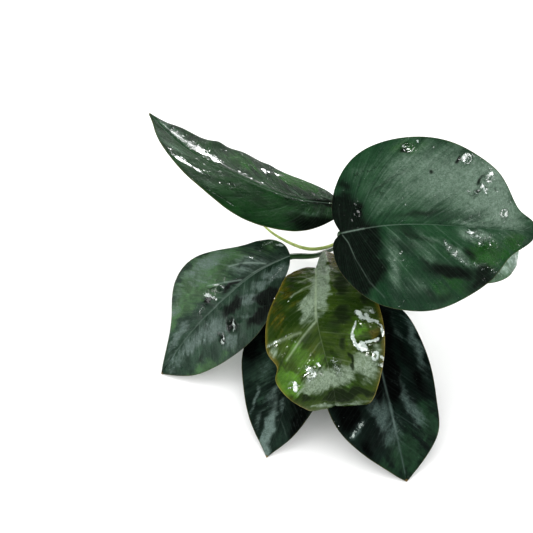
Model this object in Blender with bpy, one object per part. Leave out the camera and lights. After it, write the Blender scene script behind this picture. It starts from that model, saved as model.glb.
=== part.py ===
"""A broad-leaved anubias with a bare rhizome, lying as it would be set on a shelf.

Units are metres, +Z up, the plant is seen from -Y. Seven ovate blades, each on
its own stalk, leave a creeping rhizome that rests on its worn underside; the
roots spread behind it, and three blade tips touch the surface in front.

A blade is drawn flat first: x runs along the midrib from base to tip, y across
it, and each margin is a smooth curve through a short table of half-widths. The
flat blade is then laid along its midrib in space, each half folded and curled
by its own angles.
"""
import math

import bmesh
import bpy
import numpy as np
from mathutils import Vector

MM = 0.001

# ---- driving dimensions, millimetres and degrees ------------------------------
PLANT_CENTRE = (27.1, -16.9, 0.0)      # point of the layout that becomes the origin
BLADE_THICKNESS = 0.60                 # leathery blade between the veins
MARGIN_SHARE = 0.45                    # the margin's thickness over the blade's
BLADE_ROWS = 20                        # rows of cells from base to tip
BLADE_COLUMNS = 5                      # cells from midrib to margin
CURL_WIDTH = 24.0                      # distance from the rib that turns by `curl`
STALK_GAP = 0.35                       # clearance between a stalk and its blade
SURFACE_GAP = 0.30                     # clearance round the rhizome
STALK_RINGS = 12
ROOT_RINGS = 11

RHIZOME_LINE = [(36, 3, 5.6), (46, 6, 5.0), (58, 7, 4.6), (70, 5, 4.4), (80, 1, 4.2)]
RHIZOME_RADIUS = [3.4, 4.9, 5.2, 4.8, 3.6]
RHIZOME_NODES = 7                      # leaf-scar swellings along it
RHIZOME_SWELL = 0.35
RHIZOME_RINGS = 22
RHIZOME_SIDES = 14

GROWING_TIP_LINE = [(34.0, 2.4, 6.4), (32.0, 1.6, 8.2), (31.2, 0.4, 12.0)]
GROWING_TIP_RADIUS = [2.0, 1.6, 0.4]

# rib: the midrib in space. across: direction of the +y half, from base to tip.
# fold: degrees that each half rises from the rib, plus half then minus half,
# at even stations from base to tip. curl: its further turn at CURL_WIDTH.
# plus, minus: margin tables (x, half-width). sweep: crowding of the side veins
# toward the base. stalk: path from under the blade down to the rhizome, with
# its radius at the blade, at mid length and at the sheath.
LEAVES = {
    "tall_left": dict(
        rib=[(23.4, -8.0, 46.0), (6.3, -13.3, 56.0), (-12.3, -10.1, 64.0), (-27.2, -2.8, 68.0), (-41.3, 16.9, 66.0)],
        across=[(0.21, 0.88, -0.43)],
        fold=([0, 0, 0, 2, 4], [-9, -9, -4, 8, 12]), curl=(0, -4),
        plus=[(0, 0), (-4, 4), (-3.5, 8), (1, 12.2), (9, 16.2), (22, 19.8), (38, 20.6), (52, 19.0), (64, 13.4), (73, 6.6), (79, 2.2), (83, 0)],
        minus=[(0, 0), (-2.5, 2.6), (-0.5, 5.2), (4, 7.9), (11, 11.8), (22, 17.5), (34, 20.2), (45, 18.9), (50, 16.4), (56, 12.8), (62, 9.4), (72, 3.8), (79, 1.3), (83, 0)],
        sweep=1.7, stalk=[(31, -3, 37), (39, 3, 22), (44.5, 6.8, 12), (45.5, 7.5, 8)], stalk_r=(1.1, 1.1, 2.0),
        colour=(0.018, 0.060, 0.022)),
    "broad_top": dict(
        rib=[(24.3, -34.8, 62.0), (37.2, -37.6, 69.0), (51.2, -38.0, 70.0), (70.7, -37.1, 67.0), (87.2, -33.9, 62.0)],
        across=[(0.01, -0.79, -0.62)],
        fold=([6], [6]), curl=(0, 0),
        plus=[(0, 0), (-3.5, 2.5), (-4, 6), (-2.5, 11.5), (3, 18.7), (11, 24.5), (22, 27.1), (33, 26.4), (43, 21.5), (51, 15), (56, 8.8), (61, 4.6), (67, 0)],
        minus=[(0, 0), (-2, 4.5), (-1.5, 10), (3, 17.6), (11, 24), (22, 27.1), (33, 26.3), (43, 22.5), (51, 17.5), (56, 11), (60, 5.8), (64.5, 2.8), (67, 0)],
        sweep=2.4, stalk=[(29, -29, 52), (40, -13, 32), (48, 0, 16), (50.5, 4.5, 9)], stalk_r=(1.15, 1.15, 2.0),
        colour=(0.030, 0.085, 0.040)),
    "low_left": dict(
        rib=[(8.2, -25.1, 38.0), (-3.6, -31.0, 36.0), (-15.9, -36.1, 26.0), (-27.5, -40.2, 12.0), (-38.2, -49.6, 0.15)],
        across=[(-0.61, 0.74, 0.29)],
        fold=([12], [12]), curl=(-26, -26),
        plus=[(0, 0), (0, 4.5), (5, 8.8), (12, 10.6), (18.5, 14), (27, 18.2), (35, 18.8), (42, 16), (49.5, 9), (57, 4.5), (63.5, 1.8), (67.5, 0)],
        minus=[(0, 0), (2, 3.3), (7.5, 8.4), (13.5, 13), (21, 16.4), (30, 17.8), (39, 17.4), (49.5, 15.6), (59, 11.4), (64.3, 5.4), (67.5, 0)],
        sweep=1.5, stalk=[(15.6, -22.6, 35.0), (21, -17.6, 31), (33, -4.5, 20), (40.5, 3.5, 9.5)], stalk_r=(1.1, 0.88, 1.9),
        colour=(0.022, 0.070, 0.030)),
    "young_front": dict(
        rib=[(17.0, -31.0, 38.0), (16.6, -42.0, 41.0), (16.8, -55.5, 40.0), (20.2, -67.9, 33.5), (22.4, -75.6, 26.0), (22.4, -75.2, 22.6), (21.4, -71.0, 21.6)],
        across=[(-0.99, -0.06, -0.1)],
        fold=([8], [8]), curl=(-12, -12),
        plus=[(0, 0), (-1, 2.5), (0.3, 6), (3.6, 9.6), (8, 11.4), (15, 13.6), (21, 16), (27, 17.7), (31.5, 17.9), (35.5, 16.2), (38.8, 17.6), (43, 17.2), (47.5, 15), (51.5, 12), (56, 7.5), (60, 0)],
        minus=[(0, 0), (-5, 0.9), (-9.5, 1.9), (-11.2, 3.1), (-10.4, 5), (-7, 9), (2, 15.5), (14, 19.5), (25, 21), (35, 20.3), (43, 17.4), (48, 14.6), (52.5, 11.6), (57, 7), (60, 0)],
        sweep=1.7, stalk=[(19.5, -26.5, 31.5), (26, -19.5, 22), (33, -9, 13), (38.5, -1.8, 8.4)], stalk_r=(0.95, 0.95, 1.7),
        colour=(0.110, 0.160, 0.020)),
    "front_left": dict(
        rib=[(12.1, -28.7, 15.0), (9.6, -48.8, 14.0), (7.0, -64.6, 10.5), (3.9, -74.7, 6.0), (0.0, -83.1, 0.15)],
        across=[(-0.97, 0.25, -0.02)],
        fold=([4], [4]), curl=(-14, -14),
        plus=[(0, 0), (3, 7), (9, 13), (17, 17), (26, 18), (36, 16.2), (45, 13.4), (53, 8.8), (59, 3), (62, 0)],
        minus=[(0, 0), (3, 6.5), (9, 12), (17, 15.5), (26, 15), (36, 12.1), (45, 8.7), (53, 5.2), (59, 1.6), (62, 0)],
        sweep=1.5, stalk=[(16, -23, 13.2), (28, -14.5, 11), (42, -8, 8), (50, -1.5, 5.6)], stalk_r=(1.0, 1.0, 1.9),
        colour=(0.012, 0.040, 0.020)),
    "front_right": dict(
        rib=[(36.8, -30.9, 20.0), (38.3, -50.1, 20.0), (40.6, -67.1, 15.0), (43.9, -80.7, 8.5), (47.1, -91.9, 0.15)],
        across=[(-0.97, -0.23, 0.03)],
        fold=([6], [6]), curl=(-10, -10),
        plus=[(0, 0), (2, 7), (8, 13.5), (18, 18.5), (29, 20.9), (38, 21.2), (46, 19.2), (52, 15.8), (58, 11), (63, 6.2), (67, 2.3), (69, 0)],
        minus=[(0, 0), (2, 6), (6, 11), (15, 14.7), (26, 17), (36, 17.5), (46, 16.6), (54, 15), (60, 10.7), (65, 5.1), (69, 0)],
        sweep=1.5, stalk=[(40, -25, 18), (47, -15, 15), (54, -6, 11), (57, -0.5, 7)], stalk_r=(1.05, 1.05, 2.0),
        colour=(0.010, 0.036, 0.018)),
    "small_right": dict(
        rib=[(62.0, -22.2, 37.0), (69.0, -24.8, 40.0), (76.1, -24.8, 40.5), (83.3, -22.0, 38.0), (89.5, -17.7, 34.0)],
        across=[(0.2, -0.80, -0.55)],
        fold=([6], [6]), curl=(-8, -8),
        plus=[(0, 0), (0, 4), (4, 8.5), (11, 11), (19, 11), (26, 8.5), (31, 4.5), (34, 0)],
        minus=[(0, 0), (0, 4), (4, 8), (11, 10), (19, 9.5), (26, 7), (31, 3.5), (34, 0)],
        sweep=1.6, stalk=[(61.5, -17.2, 31), (63, -9.5, 19.5), (65.5, -2, 11), (66, 1.5, 8)], stalk_r=(0.85, 0.95, 1.6),
        colour=(0.060, 0.130, 0.060)),
}

# Roots: path from the rhizome outward, and radius at the start and at the end.
ROOTS = {
    "root_pale_left": ([(37.0, 7.0, 5.6), (31.5, 7.2, 7.4), (26.0, 4.4, 8.0), (17.3, 2.4, 8.0), (8.9, 7.3, 6.0), (0.2, 17.1, 3.0), (-7.0, 31.0, 0.7)], 0.70, 0.36),
    "root_back_1": ([(42, 10.5, 4.0), (40, 17, 2.2), (38, 26, 0.9), (42, 37, 0.8), (40, 48, 0.8)], 0.85, 0.55),
    "root_back_2": ([(48, 12.2, 3.4), (49, 21, 1.4), (48, 33, 0.9), (51, 47, 0.8), (49, 58, 0.8)], 0.90, 0.55),
    "root_back_3": ([(55, 13.2, 3.2), (57, 22, 1.2), (57, 36, 0.9), (64, 47, 0.8), (62, 58, 0.8)], 0.90, 0.55),
    "root_back_4": ([(62, 12.8, 3.2), (67, 20, 1.2), (72, 31, 0.9), (73, 42, 0.8), (80, 50, 0.8)], 0.90, 0.55),
    "root_back_5": ([(70, 10.4, 3.2), (78, 16, 1.2), (85, 22, 0.9), (89, 32, 0.8), (88, 40, 0.8)], 0.85, 0.55),
    "root_end": ([(82.8, 1.0, 3.6), (87, 2.5, 1.6), (92, 6, 0.9), (95, 13, 0.8), (93, 20, 0.8)], 0.80, 0.50),
    "root_front": ([(72, -1.2, 2.6), (74, -6, 1.1), (79, -11, 0.9), (84, -11, 0.8), (88, -7, 0.8)], 0.85, 0.50),
}


# ---- curves ---------------------------------------------------------------------
def smooth_curve(knots, values):
    """Natural cubic spline through values at the given knots."""
    knots = np.asarray(knots, float)
    values = np.asarray(values, float)
    flat = values.ndim == 1
    if flat:
        values = values[:, None]
    count = len(knots)
    step = np.diff(knots)
    matrix = np.eye(count)
    right = np.zeros_like(values)
    for i in range(1, count - 1):
        matrix[i, i - 1:i + 2] = step[i - 1], 2 * (step[i - 1] + step[i]), step[i]
        right[i] = 6 * ((values[i + 1] - values[i]) / step[i] - (values[i] - values[i - 1]) / step[i - 1])
    bend = np.linalg.solve(matrix, right)

    def at(t):
        t = np.clip(np.atleast_1d(np.asarray(t, float)), knots[0], knots[-1])
        i = np.clip(np.searchsorted(knots, t, side="right") - 1, 0, count - 2)
        h = step[i][:, None]
        a = (knots[i + 1] - t)[:, None]
        b = (t - knots[i])[:, None]
        out = (bend[i] * a**3 + bend[i + 1] * b**3) / (6 * h)
        out += (values[i] / h - bend[i] * h / 6) * a + (values[i + 1] / h - bend[i + 1] * h / 6) * b
        return out[:, 0] if flat else out
    return at


def path(points, power=0.75, count=400):
    """Points evenly spread along a smooth curve through a few, with arc lengths."""
    points = np.asarray(points, float)
    knots = np.concatenate([[0], np.cumsum(np.linalg.norm(np.diff(points, axis=0), axis=1)**power)])
    fine = smooth_curve(knots, points)(np.linspace(0, knots[-1], count))
    length = np.concatenate([[0], np.cumsum(np.linalg.norm(np.diff(fine, axis=0), axis=1))])
    return fine, length


def sample(fine, length, at):
    at = np.asarray(at, float)
    return np.stack([np.interp(at, length, fine[:, k]) for k in range(fine.shape[1])], axis=-1)


def stations(values, share):
    """Values at even stations, read smoothly at shares 0..1 along the rib."""
    if len(values) == 1:
        return np.broadcast_to(np.asarray(values[0], float), np.shape(share) + np.shape(values[0]))
    read = smooth_curve(np.linspace(0, 1, len(values)), values)(np.clip(np.ravel(share), 0, 1))
    return read.reshape(np.shape(share) + np.shape(values[0]))


class Blade:
    """A flat leaf outline and the folded surface it is laid on, in millimetres."""

    def __init__(self, spec):
        self.fine, self.length = path(spec["rib"])
        self.reach = self.length[-1]
        self.tangent = np.gradient(self.fine, self.length, axis=0)
        self.tangent /= np.linalg.norm(self.tangent, axis=1)[:, None]
        self.across = spec["across"]
        self.fold, self.curl = spec["fold"], spec["curl"]
        self.margin = {}
        for side, name in ((1, "plus"), (-1, "minus")):
            table = np.array(spec[name], float)
            table[:, 0] *= self.reach / table[-1, 0]
            self.margin[side] = path(table, 0.6)
        self.sweep = spec["sweep"]

    def frame(self, x):
        inside = np.clip(x, 0, self.reach)
        point = sample(self.fine, self.length, inside)
        tangent = sample(self.tangent, self.length, inside)
        tangent /= np.linalg.norm(tangent, axis=-1, keepdims=True)
        point = point + tangent * (x - inside)[..., None]
        across = stations(self.across, x / self.reach)
        across = across - (across * tangent).sum(-1, keepdims=True) * tangent
        across /= np.linalg.norm(across, axis=-1, keepdims=True)
        return point, tangent, across, np.cross(across, tangent)

    def surface(self, x, y):
        """The middle of the blade at flat coordinates (x, y)."""
        x, y = np.asarray(x, float), np.asarray(y, float)
        point, _, across, normal = self.frame(x)
        share, out = x / self.reach, np.abs(y)
        side = np.where(y >= 0, 1.0, -1.0)
        rise = np.radians(np.where(y >= 0, stations(self.fold[0], share), stations(self.fold[1], share)))
        turn = np.radians(np.where(y >= 0, self.curl[0], self.curl[1])) * out / CURL_WIDTH
        turn = np.where(np.abs(turn) < 1e-4, 1e-4, turn)
        along = out * (np.sin(rise + turn) - np.sin(rise)) / turn
        up = out * (np.cos(rise) - np.cos(rise + turn)) / turn
        return point + (side * along)[..., None] * across + up[..., None] * normal

    def flat(self, side, row, column):
        """Flat coordinates at shares (row: base to tip, column: rib to margin)."""
        fine, length = self.margin[side]
        edge = sample(fine, length, row * length[-1])
        root = self.reach * row**self.sweep
        x = root + (edge[..., 0] - root) * column
        return x, side * edge[..., 1] * column


# ---- pieces ---------------------------------------------------------------------
def material(name, colour, roughness):
    made = bpy.data.materials.new(name)
    made.use_nodes = True
    shader = made.node_tree.nodes["Principled BSDF"]
    shader.inputs["Base Color"].default_value = (*colour, 1.0)
    shader.inputs["Roughness"].default_value = roughness
    shader.inputs["Metallic"].default_value = 0.0
    made.diffuse_color = (*colour, 1.0)
    return made


def placed(name, data, origin, look, parent):
    """An object whose own origin lies at `origin` (mm), parented to the plant."""
    made = bpy.data.objects.new(name, data)
    made.location = Vector(origin) * MM
    made.parent = parent
    data.materials.append(look)
    bpy.context.scene.collection.objects.link(made)
    return made


def blade_object(name, spec, look, parent):
    """Grid of cells between two margins, thickened by a Solidify modifier."""
    blade = Blade(spec)
    base = np.array(spec["rib"][0], float)
    mesh = bmesh.new()
    thin = mesh.verts.layers.deform.verify()

    def vertex(x, y, weight):
        spot = blade.surface(np.array([x]), np.array([y]))[0] - base
        made = mesh.verts.new(Vector(spot) * MM)
        made[thin][0] = weight
        return made

    first = vertex(0.0, 0.0, 1.0)
    last = vertex(blade.reach, 0.0, 0.0)
    rows = []
    for i in range(1, BLADE_ROWS):
        share = i / BLADE_ROWS
        row = {}
        for side in (1, -1):
            for k in range(BLADE_COLUMNS + 1):
                if k == 0 and side == -1:
                    row[0] = row[0]
                    continue
                x, y = blade.flat(side, share, k / BLADE_COLUMNS)
                row[side * k] = vertex(float(x), float(y), 0.0 if k == BLADE_COLUMNS else 1.0)
        rows.append(row)
    columns = range(-BLADE_COLUMNS, BLADE_COLUMNS)
    for low, high in zip(rows, rows[1:]):
        for k in columns:
            mesh.faces.new((low[k], high[k], high[k + 1], low[k + 1]))
    for k in columns:
        mesh.faces.new((first, rows[0][k], rows[0][k + 1]))
        mesh.faces.new((last, rows[-1][k + 1], rows[-1][k]))
    bmesh.ops.triangulate(mesh, faces=mesh.faces[:])
    bmesh.ops.recalc_face_normals(mesh, faces=mesh.faces[:])
    data = bpy.data.meshes.new(name)
    mesh.to_mesh(data)
    mesh.free()
    made = placed(name, data, base, look, parent)
    made.vertex_groups.new(name="between_margins")
    thicken = made.modifiers.new("blade_thickness", "SOLIDIFY")
    thicken.thickness = BLADE_THICKNESS * MM
    thicken.offset = 0.0
    thicken.vertex_group = "between_margins"
    thicken.thickness_vertex_group = MARGIN_SHARE
    thicken.use_even_offset = False
    data.shade_smooth()
    return made


def tube_object(name, points, radii, rings, sides, look, parent, smooth_power=0.75):
    """A round, tapering curve with filled caps; radii run evenly along it."""
    fine, length = path(points, smooth_power)
    share = np.linspace(0, 1, rings)
    spots = sample(fine, length, share * length[-1])
    widths = stations([float(r) for r in radii], share)
    curve = bpy.data.curves.new(name, "CURVE")
    curve.dimensions = "3D"
    curve.bevel_depth = MM
    curve.bevel_resolution = (sides - 4) // 2
    curve.use_fill_caps = True
    line = curve.splines.new("POLY")
    line.points.add(rings - 1)
    for knot, spot, width in zip(line.points, spots, widths):
        knot.co = (*(Vector(spot - np.array(points[0], float)) * MM), 1.0)
        knot.radius = float(width)
    return placed(name, curve, points[0], look, parent)


def rhizome_mesh(name, grow):
    """Knotty lofted stem, flattened underneath; `grow` inflates it for a cutter."""
    fine, length = path(RHIZOME_LINE)
    origin = np.array(RHIZOME_LINE[0], float)
    mesh = bmesh.new()
    rings = []
    for i in range(RHIZOME_RINGS + 1):
        share = i / RHIZOME_RINGS
        spot = sample(fine, length, np.array([share * length[-1]]))[0]
        ahead = sample(fine, length, np.array([min(share + 0.02, 1) * length[-1]]))[0]
        behind = sample(fine, length, np.array([max(share - 0.02, 0) * length[-1]]))[0]
        tangent = (ahead - behind) / np.linalg.norm(ahead - behind)
        across = np.cross(tangent, (0, 0, 1))
        across /= np.linalg.norm(across)
        up = np.cross(across, tangent)
        radius = float(stations([float(r) for r in RHIZOME_RADIUS], np.array([share]))[0])
        radius *= math.sin(math.pi * min(0.5, 0.12 + 4.0 * min(share, 1 - share)))
        radius += RHIZOME_SWELL * math.cos(2 * math.pi * RHIZOME_NODES * share) * min(1, 8 * min(share, 1 - share))
        if i in (0, RHIZOME_RINGS):
            spot = spot + tangent * (grow if i else -grow)
        ring = []
        for k in range(RHIZOME_SIDES):
            turn = 2 * math.pi * k / RHIZOME_SIDES
            place = spot + (radius + grow) * (math.cos(turn) * across + math.sin(turn) * up)
            place[2] = max(place[2], -grow)
            ring.append(mesh.verts.new(Vector(place - origin) * MM))
        rings.append(ring)
    for low, high in zip(rings, rings[1:]):
        for k in range(RHIZOME_SIDES):
            n = (k + 1) % RHIZOME_SIDES
            mesh.faces.new((low[k], low[n], high[n], high[k]))
    mesh.faces.new(rings[0][::-1])
    mesh.faces.new(rings[-1])
    bmesh.ops.triangulate(mesh, faces=mesh.faces[:])
    bmesh.ops.recalc_face_normals(mesh, faces=mesh.faces[:])
    data = bpy.data.meshes.new(name)
    mesh.to_mesh(data)
    mesh.free()
    data.shade_smooth()
    return data, origin


def build():
    for old in list(bpy.data.objects):
        bpy.data.objects.remove(old, do_unlink=True)
    plant = bpy.data.objects.new("anubias", None)
    plant.location = -Vector(PLANT_CENTRE) * MM
    bpy.context.scene.collection.objects.link(plant)

    bark = material("rhizome_skin", (0.075, 0.095, 0.030), 0.6)
    data, origin = rhizome_mesh("rhizome", 0.0)
    placed("rhizome", data, origin, bark, plant)
    data, origin = rhizome_mesh("rhizome_clearance", SURFACE_GAP)
    cutter = placed("rhizome_clearance", data, origin, bark, plant)
    cutter.hide_render = True
    cutter.display_type = "WIRE"

    stalk_look = material("stalk_skin", (0.045, 0.110, 0.035), 0.45)
    for name, spec in LEAVES.items():
        look = material("blade_" + name, spec["colour"], 0.35)
        blade_object("leaf_" + name, spec, look, plant)
        blade = Blade(spec)
        top, middle, sheath = spec["stalk_r"]
        drop = BLADE_THICKNESS / 2 + STALK_GAP + top
        ends = []
        for x in (1.6, -1.2):
            point, _, _, normal = blade.frame(np.array([x]))
            ends.append(point[0] - normal[0] * (drop + (0.0 if x > 0 else 0.25)))
        points = ends + [np.array(p, float) for p in spec["stalk"]]
        stalk = tube_object("stalk_" + name, points, (top, middle, middle, sheath), STALK_RINGS, 8, stalk_look, plant)
        trim_to(stalk, cutter)

    tip_look = material("growing_tip_skin", (0.100, 0.150, 0.040), 0.45)
    bud = tube_object("growing_tip", GROWING_TIP_LINE, GROWING_TIP_RADIUS, 6, 8, tip_look, plant)
    trim_to(bud, cutter)

    for name, (points, start, end) in ROOTS.items():
        pale = name == "root_pale_left"
        look = material(name + "_skin", (0.300, 0.360, 0.110) if pale else (0.140, 0.120, 0.060), 0.5)
        root = tube_object(name, points, (start, (start + end) / 2, end), ROOT_RINGS, 6, look, plant)
        trim_to(root, cutter)


def trim_to(thing, cutter):
    """Cuts a tube back to the clearance round the rhizome, keeping its outer end."""
    graph = bpy.context.evaluated_depsgraph_get()
    solid = bpy.data.meshes.new_from_object(thing.evaluated_get(graph), depsgraph=graph)
    name, look, parent, spot = thing.name, thing.data.materials[0], thing.parent, thing.location.copy()
    line = thing.data
    bpy.data.objects.remove(thing, do_unlink=True)
    bpy.data.curves.remove(line)
    solid.name = name
    weld = bmesh.new()
    weld.from_mesh(solid)
    bmesh.ops.remove_doubles(weld, verts=weld.verts[:], dist=1e-6)
    bmesh.ops.recalc_face_normals(weld, faces=weld.faces[:])
    weld.to_mesh(solid)
    weld.free()
    made = bpy.data.objects.new(name, solid)
    made.location = spot
    made.parent = parent
    bpy.context.scene.collection.objects.link(made)
    if not solid.materials:
        solid.materials.append(look)
    cut = made.modifiers.new("rhizome_gap", "BOOLEAN")
    cut.operation = "DIFFERENCE"
    cut.solver = "EXACT"
    cut.object = cutter
    return made


build()
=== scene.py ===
import math

import bpy
import numpy as np
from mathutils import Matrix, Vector


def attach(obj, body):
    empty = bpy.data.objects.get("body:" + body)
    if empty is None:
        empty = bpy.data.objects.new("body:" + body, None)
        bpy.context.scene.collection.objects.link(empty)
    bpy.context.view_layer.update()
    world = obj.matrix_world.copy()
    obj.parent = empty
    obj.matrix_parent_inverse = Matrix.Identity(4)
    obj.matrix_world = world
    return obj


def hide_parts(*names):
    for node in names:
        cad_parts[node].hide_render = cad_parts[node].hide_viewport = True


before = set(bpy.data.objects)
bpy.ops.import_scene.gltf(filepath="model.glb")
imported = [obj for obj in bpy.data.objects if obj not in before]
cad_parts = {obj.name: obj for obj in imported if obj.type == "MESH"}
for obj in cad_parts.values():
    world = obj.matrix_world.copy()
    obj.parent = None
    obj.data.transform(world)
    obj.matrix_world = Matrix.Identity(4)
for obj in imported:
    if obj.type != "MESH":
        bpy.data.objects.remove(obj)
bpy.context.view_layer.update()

MM = 0.001
CENTRE = np.array([27.1, -16.9, 0.0])      # layout point that is the frame's origin, mm
CURL_WIDTH = 24.0
ROWS, COLUMNS = ((170, 62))   # cells base to tip, midrib to margin


# ---- curves, as in the construction --------------------------------------------
def smooth_curve(knots, values):
    knots = np.asarray(knots, float)
    values = np.asarray(values, float)
    flat = values.ndim == 1
    if flat:
        values = values[:, None]
    count = len(knots)
    step = np.diff(knots)
    matrix = np.eye(count)
    right = np.zeros_like(values)
    for i in range(1, count - 1):
        matrix[i, i - 1:i + 2] = step[i - 1], 2 * (step[i - 1] + step[i]), step[i]
        right[i] = 6 * ((values[i + 1] - values[i]) / step[i] - (values[i] - values[i - 1]) / step[i - 1])
    bend = np.linalg.solve(matrix, right)

    def at(t):
        t = np.clip(np.atleast_1d(np.asarray(t, float)), knots[0], knots[-1])
        i = np.clip(np.searchsorted(knots, t, side="right") - 1, 0, count - 2)
        h = step[i][:, None]
        a = (knots[i + 1] - t)[:, None]
        b = (t - knots[i])[:, None]
        out = (bend[i] * a**3 + bend[i + 1] * b**3) / (6 * h)
        out += (values[i] / h - bend[i] * h / 6) * a + (values[i + 1] / h - bend[i + 1] * h / 6) * b
        return out[:, 0] if flat else out
    return at


def path(points, power=0.75, count=800):
    points = np.asarray(points, float)
    knots = np.concatenate([[0], np.cumsum(np.linalg.norm(np.diff(points, axis=0), axis=1)**power)])
    fine = smooth_curve(knots, points)(np.linspace(0, knots[-1], count))
    length = np.concatenate([[0], np.cumsum(np.linalg.norm(np.diff(fine, axis=0), axis=1))])
    return fine, length


def sample(fine, length, at):
    at = np.asarray(at, float)
    return np.stack([np.interp(at, length, fine[:, k]) for k in range(fine.shape[1])], axis=-1)


def stations(values, share):
    if len(values) == 1:
        return np.broadcast_to(np.asarray(values[0], float), np.shape(share) + np.shape(values[0]))
    read = smooth_curve(np.linspace(0, 1, len(values)), values)(np.clip(np.ravel(share), 0, 1))
    return read.reshape(np.shape(share) + np.shape(values[0]))


def smoothstep(low, high, x):
    t = np.clip((x - low) / (high - low), 0, 1)
    return t * t * (3 - 2 * t)


class Noise:
    """Seeded gradient noise on the plane, about -1 to 1."""

    def __init__(self, seed):
        turn = np.random.default_rng(seed).random((64, 64)) * 2 * math.pi
        self.g = np.stack([np.cos(turn), np.sin(turn)], -1)

    def __call__(self, x, y):
        x, y = np.asarray(x, float), np.asarray(y, float)
        i, j = np.floor(x).astype(int), np.floor(y).astype(int)
        fx, fy = x - i, y - j
        u = fx**3 * (fx * (fx * 6 - 15) + 10)
        v = fy**3 * (fy * (fy * 6 - 15) + 10)

        def dot(a, b):
            g = self.g[(i + a) % 64, (j + b) % 64]
            return g[..., 0] * (fx - a) + g[..., 1] * (fy - b)
        low = dot(0, 0) * (1 - u) + dot(1, 0) * u
        high = dot(0, 1) * (1 - u) + dot(1, 1) * u
        return 1.5 * (low * (1 - v) + high * v)


class Blade:
    """Flat outline and the folded surface it lies on, in millimetres."""

    def __init__(self, spec):
        self.spec = spec
        self.fine, self.length = path(spec["rib"])
        self.reach = self.length[-1]
        self.tangent = np.gradient(self.fine, self.length, axis=0)
        self.tangent /= np.linalg.norm(self.tangent, axis=1)[:, None]
        self.margin = {}
        for side, name in ((1, "plus"), (-1, "minus")):
            table = np.array(spec[name], float)
            table[:, 0] *= self.reach / table[-1, 0]
            self.margin[side] = path(table, 0.6)

    def frame(self, x):
        inside = np.clip(x, 0, self.reach)
        point = sample(self.fine, self.length, inside)
        tangent = sample(self.tangent, self.length, inside)
        tangent /= np.linalg.norm(tangent, axis=-1, keepdims=True)
        point = point + tangent * (x - inside)[..., None]
        across = stations(self.spec["across"], x / self.reach)
        across = across - (across * tangent).sum(-1, keepdims=True) * tangent
        across /= np.linalg.norm(across, axis=-1, keepdims=True)
        return point, tangent, across, np.cross(across, tangent)

    def surface(self, x, y):
        point, _, across, normal = self.frame(x)
        share, out = x / self.reach, np.abs(y)
        side = np.where(y >= 0, 1.0, -1.0)
        fold, curl = self.spec["fold"], self.spec["curl"]
        rise = np.radians(np.where(y >= 0, stations(fold[0], share), stations(fold[1], share)))
        # the crease along the midrib is rounded over its own width
        turn = np.radians(np.where(y >= 0, curl[0], curl[1])) * out / CURL_WIDTH
        turn = np.where(np.abs(turn) < 1e-4, 1e-4, turn)
        along = out * (np.sin(rise + turn) - np.sin(rise)) / turn
        up = out * (np.cos(rise) - np.cos(rise + turn)) / turn
        return point + (side * along)[..., None] * across + up[..., None] * normal

    def normal(self, x, y):
        e = 0.35
        along = self.surface(x + e, y) - self.surface(x - e, y)
        across = self.surface(x, y + e) - self.surface(x, y - e)
        n = np.cross(across, along)
        return n / np.linalg.norm(n, axis=-1, keepdims=True)


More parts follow.
